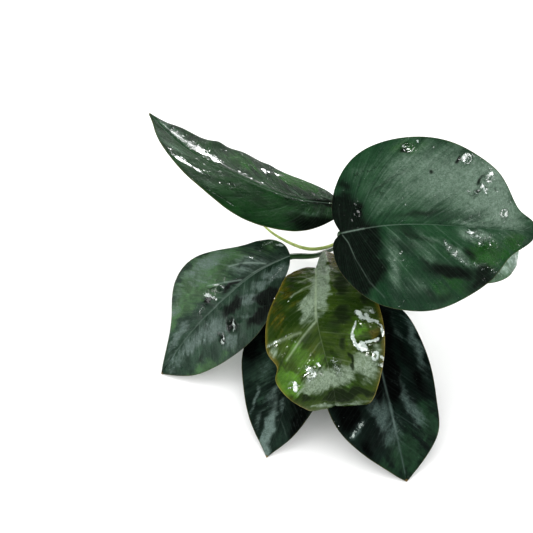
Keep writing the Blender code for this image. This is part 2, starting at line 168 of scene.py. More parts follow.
# ---- the leaves ------------------------------------------------------------------
# Shape tables are the construction's. The rest is looks. veins = side veins on a
# half, quilt = height of the cushions between them (mm), swell = height and
# wavelength of the slow undulation, shine = gloss of the dry skin.
# creases = ridges (x0, y0, x1, y1, height, width), bends = folds (x0, y0, x1, y1,
# slope on the far side, softness, reach), crinkles = (x, y, radius, height,
# wavelength), pits = (x, y, radius, depth), rings = (x, y, radius, width, height),
# ripples = (side, height, wavelength, x0, x1), streaks = pale lines (x0, y0, x1,
# y1, width, amount), foam = painted glints: white broken highlight marks, likewise. green, dark, veil, warm and wet are
# patches (x, y, radius along, radius across, turn in degrees, amount): saturated green, near black painted shade and
# dark reflection (partly darker skin at the base), painted sheen (a grey reflection), brownish, and a film of water.
LEAVES = {
    "tall_left": dict(
        rib=[(23.4, -8.0, 46.0), (6.3, -13.3, 56.0), (-12.3, -10.1, 64.0), (-27.2, -2.8, 68.0), (-41.3, 16.9, 66.0)],
        across=[(0.21, 0.88, -0.43)],
        fold=([0, 0, 0, 2, 4], [-9, -9, -4, 8, 12]), curl=(0, -4),
        plus=[(0, 0), (-4, 4), (-3.5, 8), (1, 12.2), (9, 16.2), (22, 19.8), (38, 20.6), (52, 19.0), (64, 13.4), (73, 6.6), (79, 2.2), (83, 0)],
        minus=[(0, 0), (-2.5, 2.6), (-0.5, 5.2), (4, 7.9), (11, 11.8), (22, 17.5), (34, 20.2), (45, 18.9), (50, 16.4), (56, 12.8), (62, 9.4), (72, 3.8), (79, 1.3), (83, 0)],
        sweep=2.2, seed=3, veins=11, quilt=0.14, swell=(0.30, 21), pull=1.5, soft=0.4, tone="dark", shine=0.03,
        painted_glints=[(74, 1.2, 66, 2.6, 0.45, 0.55), (66, 2.6, 58, 4.2, 0.55, 0.6), (58, 4.2, 50, 4.6, 0.45, 0.6), (50, 4.6, 44, 3.4, 0.35, 0.6), (44, 2.4, 34, 2.6, 0.25, 0.55), (34, 2.6, 26, 2.4, 0.2, 0.5), (56, -9.4, 48, -10, 0.35, 0.6), (40, -9.8, 37.4, -8, 0.3, 0.5), (37.4, -8, 38.6, -6.6, 0.3, 0.5), (46, -17.4, 36, -17.4, 0.3, 0.5), (24, -0.6, 12, -1.4, 0.2, 0.5), (30, 13.6, 22, 14.4, 0.35, 0.5)],
        ripples=[(1, 0.30, 17.0, 24, 80), (-1, 0.22, 19.0, 20, 75)],
        green=[(10, 12.5, 13, 7, 0, 1.2), (38, 12, 14, 8, 0, 0.65), (50, -7, 12, 6, 0, 0.35), (24, 10, 9, 5, 0, 0.35)],
        dark=[(8, -13, 15, 7, 0, 1.0), (3, 0, 9, 3, 0, 0.8), (29, -8, 8, 7, 0, 0.45), (20, -4, 7, 2.5, 0, 0.5), (50, -3, 8, 1.6, 0, 0.35)],
        painted_sheen=[(69, 2.0, 13, 4.5, 0, 0.75), (64, -6, 13, 4, 0, 0.55), (13, -7, 9, 2.0, -12, 0.50), (17, 5.0, 7, 2.0, 0, 0.35), (46, -14, 10, 2.5, 0, 0.35)],
        wet=[(67, 2.4, 8, 2.3, 3, 1.0), (57, 4.2, 6, 2.6, 4, 1.0), (49, 4.0, 5, 2.0, 6, 1.0), (42, 2.6, 4.5, 1.0, 4, 0.9), (33, 2.8, 8, 0.9, 0, 0.85), (27, 13.6, 5, 1.2, -6, 0.85), (20, 14.2, 4, 1.3, -6, 0.8),
             (52, -9.6, 6.5, 0.9, -6, 0.95), (39, -8.6, 3.2, 2.6, 20, 0.9), (41, -17.2, 8, 0.9, 0, 0.8), (18, -1.2, 8, 0.8, 0, 0.8), (31, 18.4, 7, 0.6, 0, 0.6), (6, 4, 3, 2, 0, 0.6), (14, -16, 5, 1.2, 0, 0.5)]),
    "broad_top": dict(
        rib=[(24.3, -34.8, 62.0), (37.2, -37.6, 69.0), (51.2, -38.0, 70.0), (70.7, -37.1, 67.0), (87.2, -33.9, 62.0)],
        across=[(0.01, -0.79, -0.62)],
        fold=([6], [6]), curl=(0, 0),
        plus=[(0, 0), (-3.5, 2.5), (-4, 6), (-2.5, 11.5), (3, 18.7), (11, 24.5), (22, 27.1), (33, 26.4), (43, 21.5), (51, 15), (56, 9.2), (61, 5.9), (65.2, 3.0), (67, 0)],
        minus=[(0, 0), (-2, 4.5), (-1.5, 10), (3, 17.6), (11, 24), (22, 27.1), (33, 26.3), (43, 22.5), (51, 17.5), (56, 11), (60, 6.2), (64.4, 3.7), (66.5, 1.6), (67, 0)],
        sweep=3.2, seed=5, veins=12, quilt=0.09, swell=(0.30, 22), soft=1.0, tone="broad", shine=0.14,
        creases=[(0.4, 0.8, 2.3, 3.6, 0.12, 0.45), (2.3, 3.6, 4.3, 9.2, 0.12, 0.45), (4.3, 9.2, 8.6, 17.5, 0.08, 0.5)],
        rings=[(38.7, -21.4, 1.6, 0.5, 0.40), (46.6, -15.9, 1.2, 0.4, 0.32), (45.0, -12.6, 1.1, 0.4, 0.32), (53.3, -5.2, 1.3, 0.45, 0.26), (22.3, -24.0, 1.4, 0.4, 0.26), (7.0, -5.4, 1.0, 0.35, 0.20), (42.8, 2.6, 1.6, 0.6, 0.22), (36.0, 7.4, 1.5, 0.6, 0.22)],
        crinkles=[(44, 3, 5, 0.20, 2.2), (38, 9, 5, 0.20, 2.2)],
        streaks=[(0.4, 0.8, 2.3, 3.6, 0.18, 0.42), (2.3, 3.6, 4.3, 9.2, 0.18, 0.36), (4.3, 9.2, 8.6, 17.5, 0.17, 0.22), (8.6, 17.5, 13, 22.5, 0.25, 0.2), (0, 0, 8, 0.0, 0.26, 0.6)],
        painted_glints=[(38.2, -22.6, 38.3, -20.4, 0.35, 0.9), (39.8, -22.4, 39.0, -20.4, 0.8, 0.6), (46.2, -17.4, 47.3, -16.8, 0.4, 0.7), (46.5, -15.8, 47.8, -15.4, 0.35, 0.7), (45.0, -13.9, 45.6, -12.4, 0.45, 0.8), (42.2, -11.4, 43.6, -10.6, 0.4, 0.6), (45.4, -11.4, 46.2, -10.8, 0.25, 0.9), (53.0, -6.6, 53.6, -4.8, 0.4, 0.6), (51.8, -4.2, 52.6, -3.6, 0.4, 0.5), (20.8, -24.4, 21.8, -24.0, 0.3, 0.8), (24.4, -26.0, 25.0, -25.5, 0.3, 0.8),
              (41.6, 1.4, 43.8, 3.4, 1.2, 0.50), (44.2, 4.6, 45.6, 5.4, 0.8, 0.42), (46.5, 4.4, 48.6, 5.2, 0.8, 0.40), (34.0, 5.4, 37.0, 9.0, 0.9, 0.46), (37.2, 9.2, 41.0, 12.0, 0.45, 0.6), (43.8, 11.4, 46.0, 12.8, 1.1, 0.40)],
        ripples=[(1, 0.30, 21.0, 25, 66), (-1, 0.22, 24.0, 10, 66)],
        green=[(48, 8.5, 8, 5.5, -10, 1.0), (57, 4, 5, 4, 0, 0.8), (36, 19, 11, 6, 0, 0.55), (23, -24, 7, 2.6, 0, 0.75), (36, 9, 7, 3, 35, 0.45), (34, -8, 9, 3, 0, 0.3)],
        dark=[(21, 6.5, 8, 3.0, 0, 0.45), (1.5, -6, 5.4, 5.0, 0, 2.6), (4.5, -3, 3.4, 3.4, 0, 2.4), (-1, -10, 2.5, 3, 0, 1.2), (4, -14.5, 2.4, 3.4, -30, 0.75), (4, 6, 7.6, 8.5, 0, 2.8), (7.5, 13, 5.5, 6, 30, 2.0), (5, 18.5, 4.4, 4.4, 30, 0.95), (-2, 6, 3, 6, 0, 2.0), (26, -3.4, 10, 1.5, -4, 0.62), (36, 14.6, 9, 3.0, 6, 1.05), (46, 14, 5, 3.6, -35, 0.8), (36.4, -20.6, 0.8, 1.7, 0, 1.0), (44.2, -14.8, 0.8, 1.6, 30, 0.9), (21.4, -23.0, 1.8, 0.7, 0, 1.0), (43.6, -11.8, 1.6, 0.6, 0, 0.8), (28.6, -15.8, 0.9, 0.6, 0, 0.9), (15, -12.5, 6, 0.6, -32, 0.55), (19, -15.5, 5, 0.5, -28, 0.5), (42.5, 9, 3.2, 1.8, 20, 0.8), (24, 3, 10, 1.8, 25, 0.55), (46, 17, 7, 3, -35, 0.8), (33, 23, 6, 2.6, 0, 0.55), (29, 12.5, 5, 1.6, 20, 0.6), (30, 22, 5, 2, 10, 0.5), (41, 18, 4, 2, 0, 0.4)],
        painted_sheen=[(32, -15, 18, 11, 0, 1.05), (45, -13, 14, 10, 0, 1.35), (53, -5, 9, 6, 0, 1.2), (17.5, 13, 3.4, 12, 0, 0.62), (27, 8, 9, 3, 38, 0.5), (57, -2.4, 6, 4, 0, 0.9), (46, -1.4, 12, 1.3, 0, 0.9), (17, -10, 8, 8, 0, 0.62), (12, -18, 7, 4, -30, 0.40), (25, 20, 8, 4, 20, 0.42), (44, 2.6, 5.5, 2.2, 10, 1.3), (37.5, 8.6, 6, 1.3, 40, 1.1), (45, 12.2, 2.6, 1.4, 0, 1.0), (22, 8, 10, 2, 45, 0.3), (30, 5, 7, 1.2, 30, 0.6)],
        wet=[(38.2, -21.8, 2.5, 2.1, 0, 1.1), (46.8, -16.4, 1.9, 1.9, 30, 1.1), (45.4, -13.2, 1.3, 2.2, -20, 1.0), (43, -11.4, 2.4, 1.1, -20, 1.0), (40.8, -10.6, 1.8, 0.9, 0, 0.9), (50, -13.4, 0.9, 0.9, 0, 1.0), (53.6, -5.2, 1.3, 2.4, 10, 1.0), (52, -4, 1.5, 1.2, 0, 0.9),
             (22.3, -24.1, 2.3, 1.3, 0, 1.0), (26.5, -26, 2, 0.8, 0, 0.9), (30, -26, 2.6, 0.7, 0, 0.8), (15, -10.5, 0.8, 0.7, 0, 0.9), (11, -17.5, 2.4, 0.8, -30, 0.8), (7.2, -5.2, 0.7, 2.6, 0, 0.9), (44, -20, 0.9, 1.2, 0, 0.9),
             (43, 1.6, 2.4, 1.7, 0, 0.9), (46.6, 4.6, 2.6, 1.5, 25, 0.85), (35, 6.6, 3.0, 1.1, 40, 0.85), (39.4, 10.4, 3.6, 1.1, 38, 0.9), (45, 12, 2.2, 1.5, 0, 0.75), (48, 3.5, 2, 1, 0, 0.6), (33, -1, 6, 0.7, 0, 0.5)]),
    "low_left": dict(
        rib=[(8.2, -25.1, 38.0), (-3.6, -31.0, 36.0), (-15.9, -36.1, 26.0), (-27.5, -40.2, 12.0), (-38.2, -49.6, 0.15)],
        across=[(-0.61, 0.74, 0.29)],
        fold=([12], [12]), curl=(-26, -26),
        plus=[(0, 0), (0, 4.5), (5, 8.8), (12, 10.6), (18.5, 14), (27, 18.2), (35, 18.8), (42, 16), (49.5, 9), (57, 4.5), (63.5, 1.8), (67.5, 0)],
        minus=[(0, 0), (2, 3.3), (7.5, 8.4), (13.5, 13), (21, 16.4), (30, 17.8), (39, 17.4), (49.5, 15.6), (59, 11.4), (64.3, 5.4), (67.5, 0)],
        sweep=2.0, seed=8, veins=10, quilt=0.22, swell=(0.35, 16), tone="leafy", shine=0.36,
        painted_glints=[(29.5, -8.4, 30.6, -9.8, 0.45, 0.9), (31.2, -9.6, 32.2, -10.8, 0.4, 0.9), (36.8, -9.4, 37.2, -11, 0.5, 0.9), (38.4, -10.8, 38.9, -12.0, 0.45, 0.9), (30.4, 2.0, 32.8, 5.4, 0.9, 0.6), (25.6, 3.0, 27.4, 6.0, 0.3, 0.8), (31.4, 5.8, 33.4, 6.4, 0.5, 0.4), (3.5, 6.8, 7.5, 7.2, 0.7, 0.5), (0.8, 4.4, 2.6, 5.6, 0.45, 0.7), (4.5, -3.0, 10, -5.0, 1.2, 0.42), (37, 3.2, 39.4, 2.8, 0.5, 0.4), (38.5, 5.0, 40, 4.2, 0.4, 0.4)],
        streaks=[(0, 0, 14, 0.6, 0.22, 0.5), (14, 0.6, 34, 0.2, 0.22, 0.3), (34, 0.2, 60, 0.0, 0.30, 0.22), (9, 1.2, 15.5, 5.6, 0.30, 0.7), (15.5, 5.6, 19.5, 7.4, 0.28, 0.6), (19, 1.2, 26, 5.2, 0.30, 0.55), (26, 5.2, 30, 7.4, 0.28, 0.5)],
        crinkles=[(29, -7, 7, 0.70, 4.2), (34, 4.5, 8, 0.55, 3.0), (41, -7, 6, 0.45, 3.2), (6, 6, 6, 0.50, 3.4), (25, 4, 6, 0.45, 2.6), (16, -8, 7, 0.35, 3.0)],
        pits=[(30.5, -7.6, 1.3, 0.9), (31.8, -10.0, 1.1, 0.9), (27.5, -9.6, 1.0, 0.6), (37.8, -9.4, 1.2, 0.8), (38.4, -12.2, 0.9, 0.7), (31.0, -1.6, 1.0, 0.6), (34.6, 4.6, 0.9, 0.45), (26.6, 3.6, 1.1, 0.45)],
        green=[(28, 11, 18, 8, 0, 1.2), (44, 9, 10, 5, 0, 0.9), (14, 7, 9, 4, 0, 0.6), (53, -13, 11, 3.4, 14, 0.9), (4, 6, 6, 3, 0, 0.75), (40, -15, 7, 2.5, 0, 0.5)],
        dark=[(24, -9, 20, 7, 0, 0.40), (22.5, 2.2, 7, 1.4, 5, 0.85), (27, -4.5, 8, 3.6, 0, 0.8), (14, -10, 7, 3.4, 25, 1.1), (20.5, -13, 8, 3.2, 0, 0.85), (33, 3.4, 4, 0.9, 20, 0.8), (29.4, 6.2, 4, 0.7, 20, 0.7), (3, -7.5, 3, 1.2, 40, 0.9), (31, -9, 4, 4, 0, 0.7), (38, -10.5, 3, 3, 0, 0.6), (51, -9, 10, 1.8, 0, 0.45), (47, 1.6, 10, 1.0, 0, 0.4), (29, 5, 4, 1.2, 30, 0.5), (2, 1.6, 4, 1.2, 0, 0.5)],
        painted_sheen=[(6.5, -3.8, 4.8, 2.3, 15, 1.8), (20.5, -6.6, 5, 2.1, 20, 1.3), (13, -5.0, 7, 1.6, 15, 0.9), (39, -6, 9, 4, 10, 0.95), (26, 14, 14, 4, 10, 0.8), (17, 5, 10, 3, 20, 0.6), (43, 12, 9, 3, -20, 0.55), (51, -3.2, 14, 3.2, 4, 0.9), (52, 3, 10, 2.0, 0, 0.8), (33, 12, 8, 3.4, 30, 0.55), (22, 7.6, 10, 1.2, 15, 0.5), (60, 0, 6, 2, 0, 0.55), (35, -13.4, 6, 2.6, 0, 0.75), (44, 9, 8, 1.6, -8, 0.45), (24, -10.5, 5, 1.6, 20, 0.6)],
        wet=[(28, 4.4, 4.4, 1.2, 20, 0.85), (33, 3.6, 3.4, 1.4, 0, 0.95), (37, 3, 3.2, 1.2, -10, 0.8), (24, 5.6, 4, 0.8, 10, 0.7), (31.5, -8.8, 1.8, 3.0, 0, 1.0), (37.4, -9.6, 1.8, 2.8, 0, 1.0), (6, 6.6, 5, 1.5, 0, 0.8), (2, 4.6, 2.5, 1.0, 0, 0.85), (16, 5.8, 5, 0.6, 20, 0.6), (14, -10, 5, 3, 0, 0.45), (22, -10, 5, 2.6, 0, 0.5), (8, -4.6, 4, 1.4, 10, 0.6)]),
    "young_front": dict(
        rib=[(17.0, -31.0, 38.0), (16.6, -42.0, 41.0), (16.8, -55.5, 40.0), (20.2, -67.9, 33.5), (22.4, -75.6, 26.0), (22.4, -75.2, 22.6), (21.4, -71.0, 21.6)],
        across=[(-0.99, -0.06, -0.1)],
        fold=([8], [8]), curl=(-12, -12),
        plus=[(0, 0), (-1, 2.5), (0.3, 6), (3.6, 9.6), (8, 11.4), (15, 13.6), (21, 16), (27, 17.7), (31.5, 17.9), (35.5, 16.2), (38.8, 17.6), (43, 17.2), (47.5, 15), (51.5, 12), (56, 7.5), (60, 0)],
        minus=[(0, 0), (-5, 0.9), (-9.5, 1.9), (-11.2, 3.1), (-10.4, 5), (-7, 9), (2, 15.5), (14, 19.5), (25, 21), (35, 20.3), (43, 17.4), (48, 14.6), (52.5, 11.6), (57, 7), (60, 0)],
        sweep=1.9, seed=13, veins=9, quilt=0.20, swell=(0.40, 15), tone="young", shine=0.20,
        creases=[(24, 0.4, 33.5, 12.5, 0.65, 0.8), (-11, -3.0, -2, -4.4, 0.55, 0.8), (-2, -4.4, 12, -5.3, 0.50, 0.9), (26.5, 9, 28.5, 17.5, 0.28, 0.6), (12, 7.5, 17, 12, 0.22, 0.6), (32, -8, 45, -8.5, 0.35, 0.9), (34, -3.5, 44, -5, 0.30, 0.8)],
        streaks=[(-11, -3.0, -2, -4.4, 0.30, 0.7), (0, 0, 24, 0.4, 0.35, 0.65), (24, 0.4, 33.5, 12.5, 0.34, 0.62), (26.8, 6, 28.5, 17.5, 0.35, 0.55), (9, 1, 15, 8.5, 0.30, 0.5), (5, 1, 9, 6, 0.25, 0.45)],
        rings=[(31.5, -15.0, 4.6, 0.55, 0.35)],
        painted_glints=[(22.5, -13.5, 26, -14.5, 1.2, 1.0), (24, -16, 27.5, -16.5, 0.9, 0.9), (22.5, -18, 24, -18.5, 0.9, 0.7), (25.5, -14.5, 28.5, -19, 0.8, 1.0), (26.8, -12, 28.5, -11.4, 0.55, 0.8), (28.5, -11.2, 31, -10.4, 0.45, 1.0), (31, -10.4, 34, -10.3, 0.55, 1.1), (34, -10.3, 37, -11.5, 0.65, 1.2), (35, -12.2, 36.5, -12.6, 1.1, 1.3), (34.3, -13, 34.6, -15.5, 0.42, 1.0), (34.6, -15.5, 35, -18, 0.45, 1.0),
              (28.5, -18.5, 31, -20, 0.5, 1.0), (31, -20, 34.5, -19.6, 0.5, 1.0), (27.5, -16.5, 28.5, -18.5, 0.55, 0.9), (38.3, -15.2, 39, -14.5, 0.36, 1.2), (39, -14.5, 40.2, -14.8, 0.36, 1.2), (40.2, -14.8, 40.3, -15.9, 0.36, 1.2), (40.3, -15.9, 38.8, -16.5, 0.36, 1.2), (38.8, -16.5, 38.3, -15.2, 0.36, 1.2), (40.5, -17.5, 41.5, -18.3, 0.8, 0.8), (42.6, -16.5, 43.6, -17.3, 0.6, 0.9),
              (38, 6.5, 40.5, 5, 1.3, 0.62), (37.3, 3.5, 38.2, 3, 0.6, 0.8), (41.2, 7.5, 42, 5.5, 0.8, 0.5), (41.5, 12.3, 43, 12.6, 0.75, 1.2), (44.3, 12.6, 44.6, 12.2, 0.5, 1.2), (43, 14.5, 42.5, 12.8, 0.4, 0.8), (38, -2, 42, -3.5, 1.2, 0.42), (26.5, 9, 27.5, 13, 0.3, 0.55), (27.5, 13, 28.8, 17, 0.45, 0.6), (28, 10, 30, 8, 0.3, 0.5), (14, 7.5, 17, 9.5, 0.25, 0.55)],
        bends=[(-12, -3.0, 14, -5.5, -0.16, 0.8, 16)],
        crinkles=[(10, 9, 9, 0.45, 2.2), (30, -15, 8, 0.40, 2.6), (42, 2, 12, 0.40, 2.8), (4, -2.5, 9, 0.40, 1.8), (22, 12, 8, 0.38, 2.4), (24, -8, 8, 0.30, 3.5)],
        green=[(33, 9, 6, 6, 0, 0.7), (42, 14, 5, 4, 0, 1.8), (36, 8, 4, 4, 0, 0.6), (37, 4, 4, 7, 0, 0.6), (30.5, -12, 5, 4, 0, 0.75), (46, -6, 3.4, 6, 0, 0.5), (26, -12, 4, 4, 0, 0.5), (16, -9, 6, 3, 0, 0.5), (47, 5, 3, 9, 0, 0.4)],
        dark=[(23, -8.5, 5, 4.5, 0, 0.7), (7.5, 8.5, 6, 3.5, 0, 0.55), (9, -8.6, 12, 3.4, 0, 0.75), (39, -7.6, 5, 0.8, 0, 0.7), (26.5, -5.5, 5, 3, 0, 0.6), (33, -6.5, 5, 2.6, 0, 0.55), (48.8, -4, 2.0, 12, 0, 0.9), (48, 9, 2.0, 6, 0, 0.6), (14, -17, 8, 4, 0, 0.75), (18, 12.5, 5, 3, 0, 0.5), (27, 4, 5, 1.6, 50, 0.35), (35, -18.5, 2.4, 1.6, 0, 0.7)],
        warm=[(18, 8, 12, 6, 0, 0.45), (1.5, 8, 5, 6, 0, 0.9), (-7, -5.6, 7, 1.8, 0, 1.1), (-2, -8, 6, 3, 0, 0.9), (20, 13, 9, 5, 0, 0.6), (34, -17.5, 3, 2.4, 0, 0.8), (13, 10, 7, 4, 0, 0.6), (32, 4, 5, 5, 0, 0.4)],
        painted_sheen=[(-6, -2.0, 7, 1.5, 0, 2.4), (4, -2.2, 8, 2.0, 0, 2.4), (12, -1.0, 8, 3.4, 0, 1.5), (18, 2.4, 7, 2.6, 22, 1.1), (42.5, 13.5, 3.6, 3.0, 0, 0.45), (22, 1.5, 6, 2.5, 20, 0.6), (22, -9, 5, 5, 0, 0.15), (43, 2, 4.0, 9, 0, 1.2), (43, -4, 3.4, 6, 0, 1.0), (41.5, -12, 4.4, 5, 0, 1.1), (45, 9, 2.4, 5, 0, 0.7), (23, -17, 4, 3.4, 0, 0.7), (51.8, 0, 1.0, 13, 0, 0.8), (31, 15.5, 3, 2, 0, 0.5), (37.6, -17, 2.6, 2.4, 0, 0.8)],
        wet=[(25.5, -14.8, 3.4, 1.5, 40, 1.2), (24.0, -18.2, 2.6, 1.2, -30, 1.1), (28.4, -18.6, 2.2, 1.2, 60, 1.1), (28.6, -12.2, 1.6, 1.2, 0, 1.0), (36.4, -11.2, 1.6, 2.0, 0, 1.3), (33.6, -10.7, 2.6, 0.8, 0, 1.1), (36.6, -15.4, 0.8, 3.6, 0, 1.0), (32.6, -19.6, 2.6, 0.9, 0, 1.0), (43.4, -17.2, 1.3, 1.5, 0, 1.1), (46, -16.2, 1.0, 1.3, 0, 1.0), (41, -15.3, 1.5, 1.5, 0, 1.0),
             (39.4, 6.2, 2.8, 3.0, 30, 0.95), (37.8, 3.0, 1.4, 1.2, 0, 0.9), (40.4, -2.8, 2.8, 1.5, 0, 0.9), (42.8, 12.8, 1.6, 1.0, 0, 1.2), (44.6, 12.4, 0.9, 0.9, 0, 1.2), (28.6, 8.2, 3.4, 0.7, 62, 0.9), (26.8, 12.5, 0.8, 3.4, 0, 0.85), (29, 15.8, 1.0, 2.2, 0, 0.85), (12, 8, 5, 3, 30, 0.6), (4, -2.6, 8, 1.3, 0, 0.7), (35, -1.5, 1, 1, 0, 0.9), (34, 4.4, 0.8, 0.8, 0, 0.8)]),
    "front_left": dict(
        rib=[(12.1, -28.7, 15.0), (9.6, -48.8, 14.0), (7.0, -64.6, 10.5), (3.9, -74.7, 6.0), (0.0, -83.1, 0.15)],
        across=[(-0.97, 0.25, -0.02)],
        fold=([4], [4]), curl=(-14, -14),
        plus=[(0, 0), (3, 7), (9, 13), (17, 17), (26, 18), (36, 16.2), (45, 13.4), (53, 8.8), (59, 3), (62, 0)],
        minus=[(0, 0), (3, 6.5), (9, 12), (17, 15.5), (26, 15), (36, 12.1), (45, 8.7), (53, 5.2), (59, 1.6), (62, 0)],
        sweep=1.9, seed=21, veins=9, quilt=0.10, swell=(0.3, 17), soft=0.6, tone="slate", shine=0.06,
        streaks=[(38, 3.6, 58, 1.4, 0.8, 0.35)],
        green=[(29, 9, 9, 7, 0, 0.9), (40, 7, 7, 4, 0, 0.6), (52, -2.5, 6, 2, 0, 0.4)],
        dark=[(12, 8, 9, 7, 0, 1.1), (22, 15, 6, 4, 0, 0.9), (45, -6.5, 9, 3, 0, 1.0), (39, -4, 5, 3, 0, 0.7), (20, -6, 14, 8, 0, 1.0)],
        painted_sheen=[(52, 2.6, 7.5, 1.7, -4, 1.8), (58, 1.4, 3.4, 1.3, 0, 1.6), (38, 4.4, 5, 2.2, 20, 0.7), (40, 10.5, 7, 0.9, 0, 0.75), (30, 8, 8, 5, 0, 0.4), (48, 7, 6, 1.3, 0, 0.6), (40, 1.2, 4, 1.6, 0, 0.5)],
        wet=[(38, 6, 4, 1.2, 30, 0.6), (41, 10.6, 4, 0.6, 0, 0.6), (56, 2, 3, 0.8, 0, 0.5), (36, 1.5, 1.5, 1.5, 0, 0.6)]),
    "front_right": dict(
        rib=[(36.8, -30.9, 20.0), (38.3, -50.1, 20.0), (40.6, -67.1, 15.0), (43.9, -80.7, 8.5), (47.1, -91.9, 0.15)],
        across=[(-0.97, -0.23, 0.03)],
        fold=([6], [6]), curl=(-10, -10),
        plus=[(0, 0), (2, 7), (8, 13.5), (18, 18.5), (29, 20.9), (38, 21.2), (46, 19.2), (52, 15.8), (58, 11), (63, 6.2), (67, 2.3), (69, 0)],
        minus=[(0, 0), (2, 6), (6, 11), (15, 14.7), (26, 17), (36, 17.5), (46, 16.6), (54, 15), (60, 10.7), (65, 5.1), (69, 0)],
        sweep=2.0, seed=34, veins=10, quilt=0.12, swell=(0.3, 18), soft=0.6, tone="black", shine=0.05,
        painted_glints=[(44.8, 10.4, 46.2, 12.6, 0.9, 0.62), (46.2, 12.6, 48.4, 15.4, 0.8, 0.60), (49.6, -1.6, 50, -1.2, 0.3, 0.5)],
        streaks=[(27, 0, 40, -0.6, 0.30, 0.7), (40, -0.6, 50, -0.3, 0.40, 0.9), (50, -0.3, 64, 0, 0.35, 0.4)],
        green=[(58, -2, 10, 8, 0, 1.0), (49, -12, 10, 4.5, 0, 0.95), (61, 6, 5, 4, 0, 0.8), (50, 13, 4, 3, 0, 0.4)],
        dark=[(14, 0, 20, 7, 0, 1.25), (31, -2.5, 10, 3.6, 0, 1.5), (41, 14.5, 6, 5, 0, 1.1), (53, 10.5, 5, 2.2, 0, 0.8), (35, 3, 6, 2.2, 0, 0.9), (22, -8.5, 9, 2.2, -12, 0.7), (34, -12, 8, 2.8, -12, 0.8), (20, 12, 12, 8, 0, 1.0)],
        painted_sheen=[(20, -13.4, 13, 2.3, -8, 0.95), (43, 3.4, 7, 3.4, 0, 1.15), (38, -5.8, 10, 1.7, -8, 0.95), (46.6, 13, 3.4, 1.5, 50, 1.3), (50, 1.5, 7, 5, 0, 0.6), (45, -8.6, 7, 2.4, -14, 0.75), (30, -15.2, 6, 1.4, 0, 0.5), (14, -8, 9, 1.6, -14, 0.45)],
        wet=[(46.6, 13, 2.8, 1.3, 50, 0.9), (40, -0.9, 5, 0.35, 0, 0.9), (48, -1.6, 4, 0.4, -8, 0.75), (38, -5.4, 6, 0.5, -8, 0.6), (43, -8, 6, 0.5, -14, 0.55), (66, -1, 2, 0.9, 0, 0.5), (42, 4, 5, 2.6, 0, 0.4)]),
    "small_right": dict(
        rib=[(62.0, -22.2, 37.0), (69.0, -24.8, 40.0), (76.1, -24.8, 40.5), (83.3, -22.0, 38.0), (89.5, -17.7, 34.0)],
        across=[(0.2, -0.80, -0.55)],
        fold=([6], [6]), curl=(-8, -8),
        plus=[(0, 0), (0, 4), (4, 8.5), (11, 11), (19, 11), (26, 8.5), (31, 4.5), (34, 0)],
        minus=[(0, 0), (0, 4), (4, 8), (11, 10), (19, 9.5), (26, 7), (31, 3.5), (34, 0)],
        sweep=1.9, seed=55, veins=7, quilt=0.16, swell=(0.3, 11), tone="pale", shine=0.34,
        crinkles=[(26, 4, 6, 0.25, 3.2)],
        green=[(8, 0, 8, 8, 0, 0.7)], dark=[(16, 0, 14, 3, 0, 0.5), (22, -6, 6, 3, 0, 0.4)],
        painted_sheen=[(27, 4, 7, 4, 0, 0.9), (20, 7, 8, 3, 0, 0.6)],
        wet=[(28, 4, 4, 2.4, 20, 1.0), (23, 6, 3, 1.6, 30, 0.9), (24, -3, 4, 2, 0, 0.6), (14, 6, 3, 1.5, 0, 0.6)]),
}


def segment_distance(x, y, x0, y0, x1, y1):
    dx, dy = x1 - x0, y1 - y0
    t = np.clip(((x - x0) * dx + (y - y0) * dy) / (dx * dx + dy * dy), 0, 1)
    return np.hypot(x - x0 - t * dx, y - y0 - t * dy)


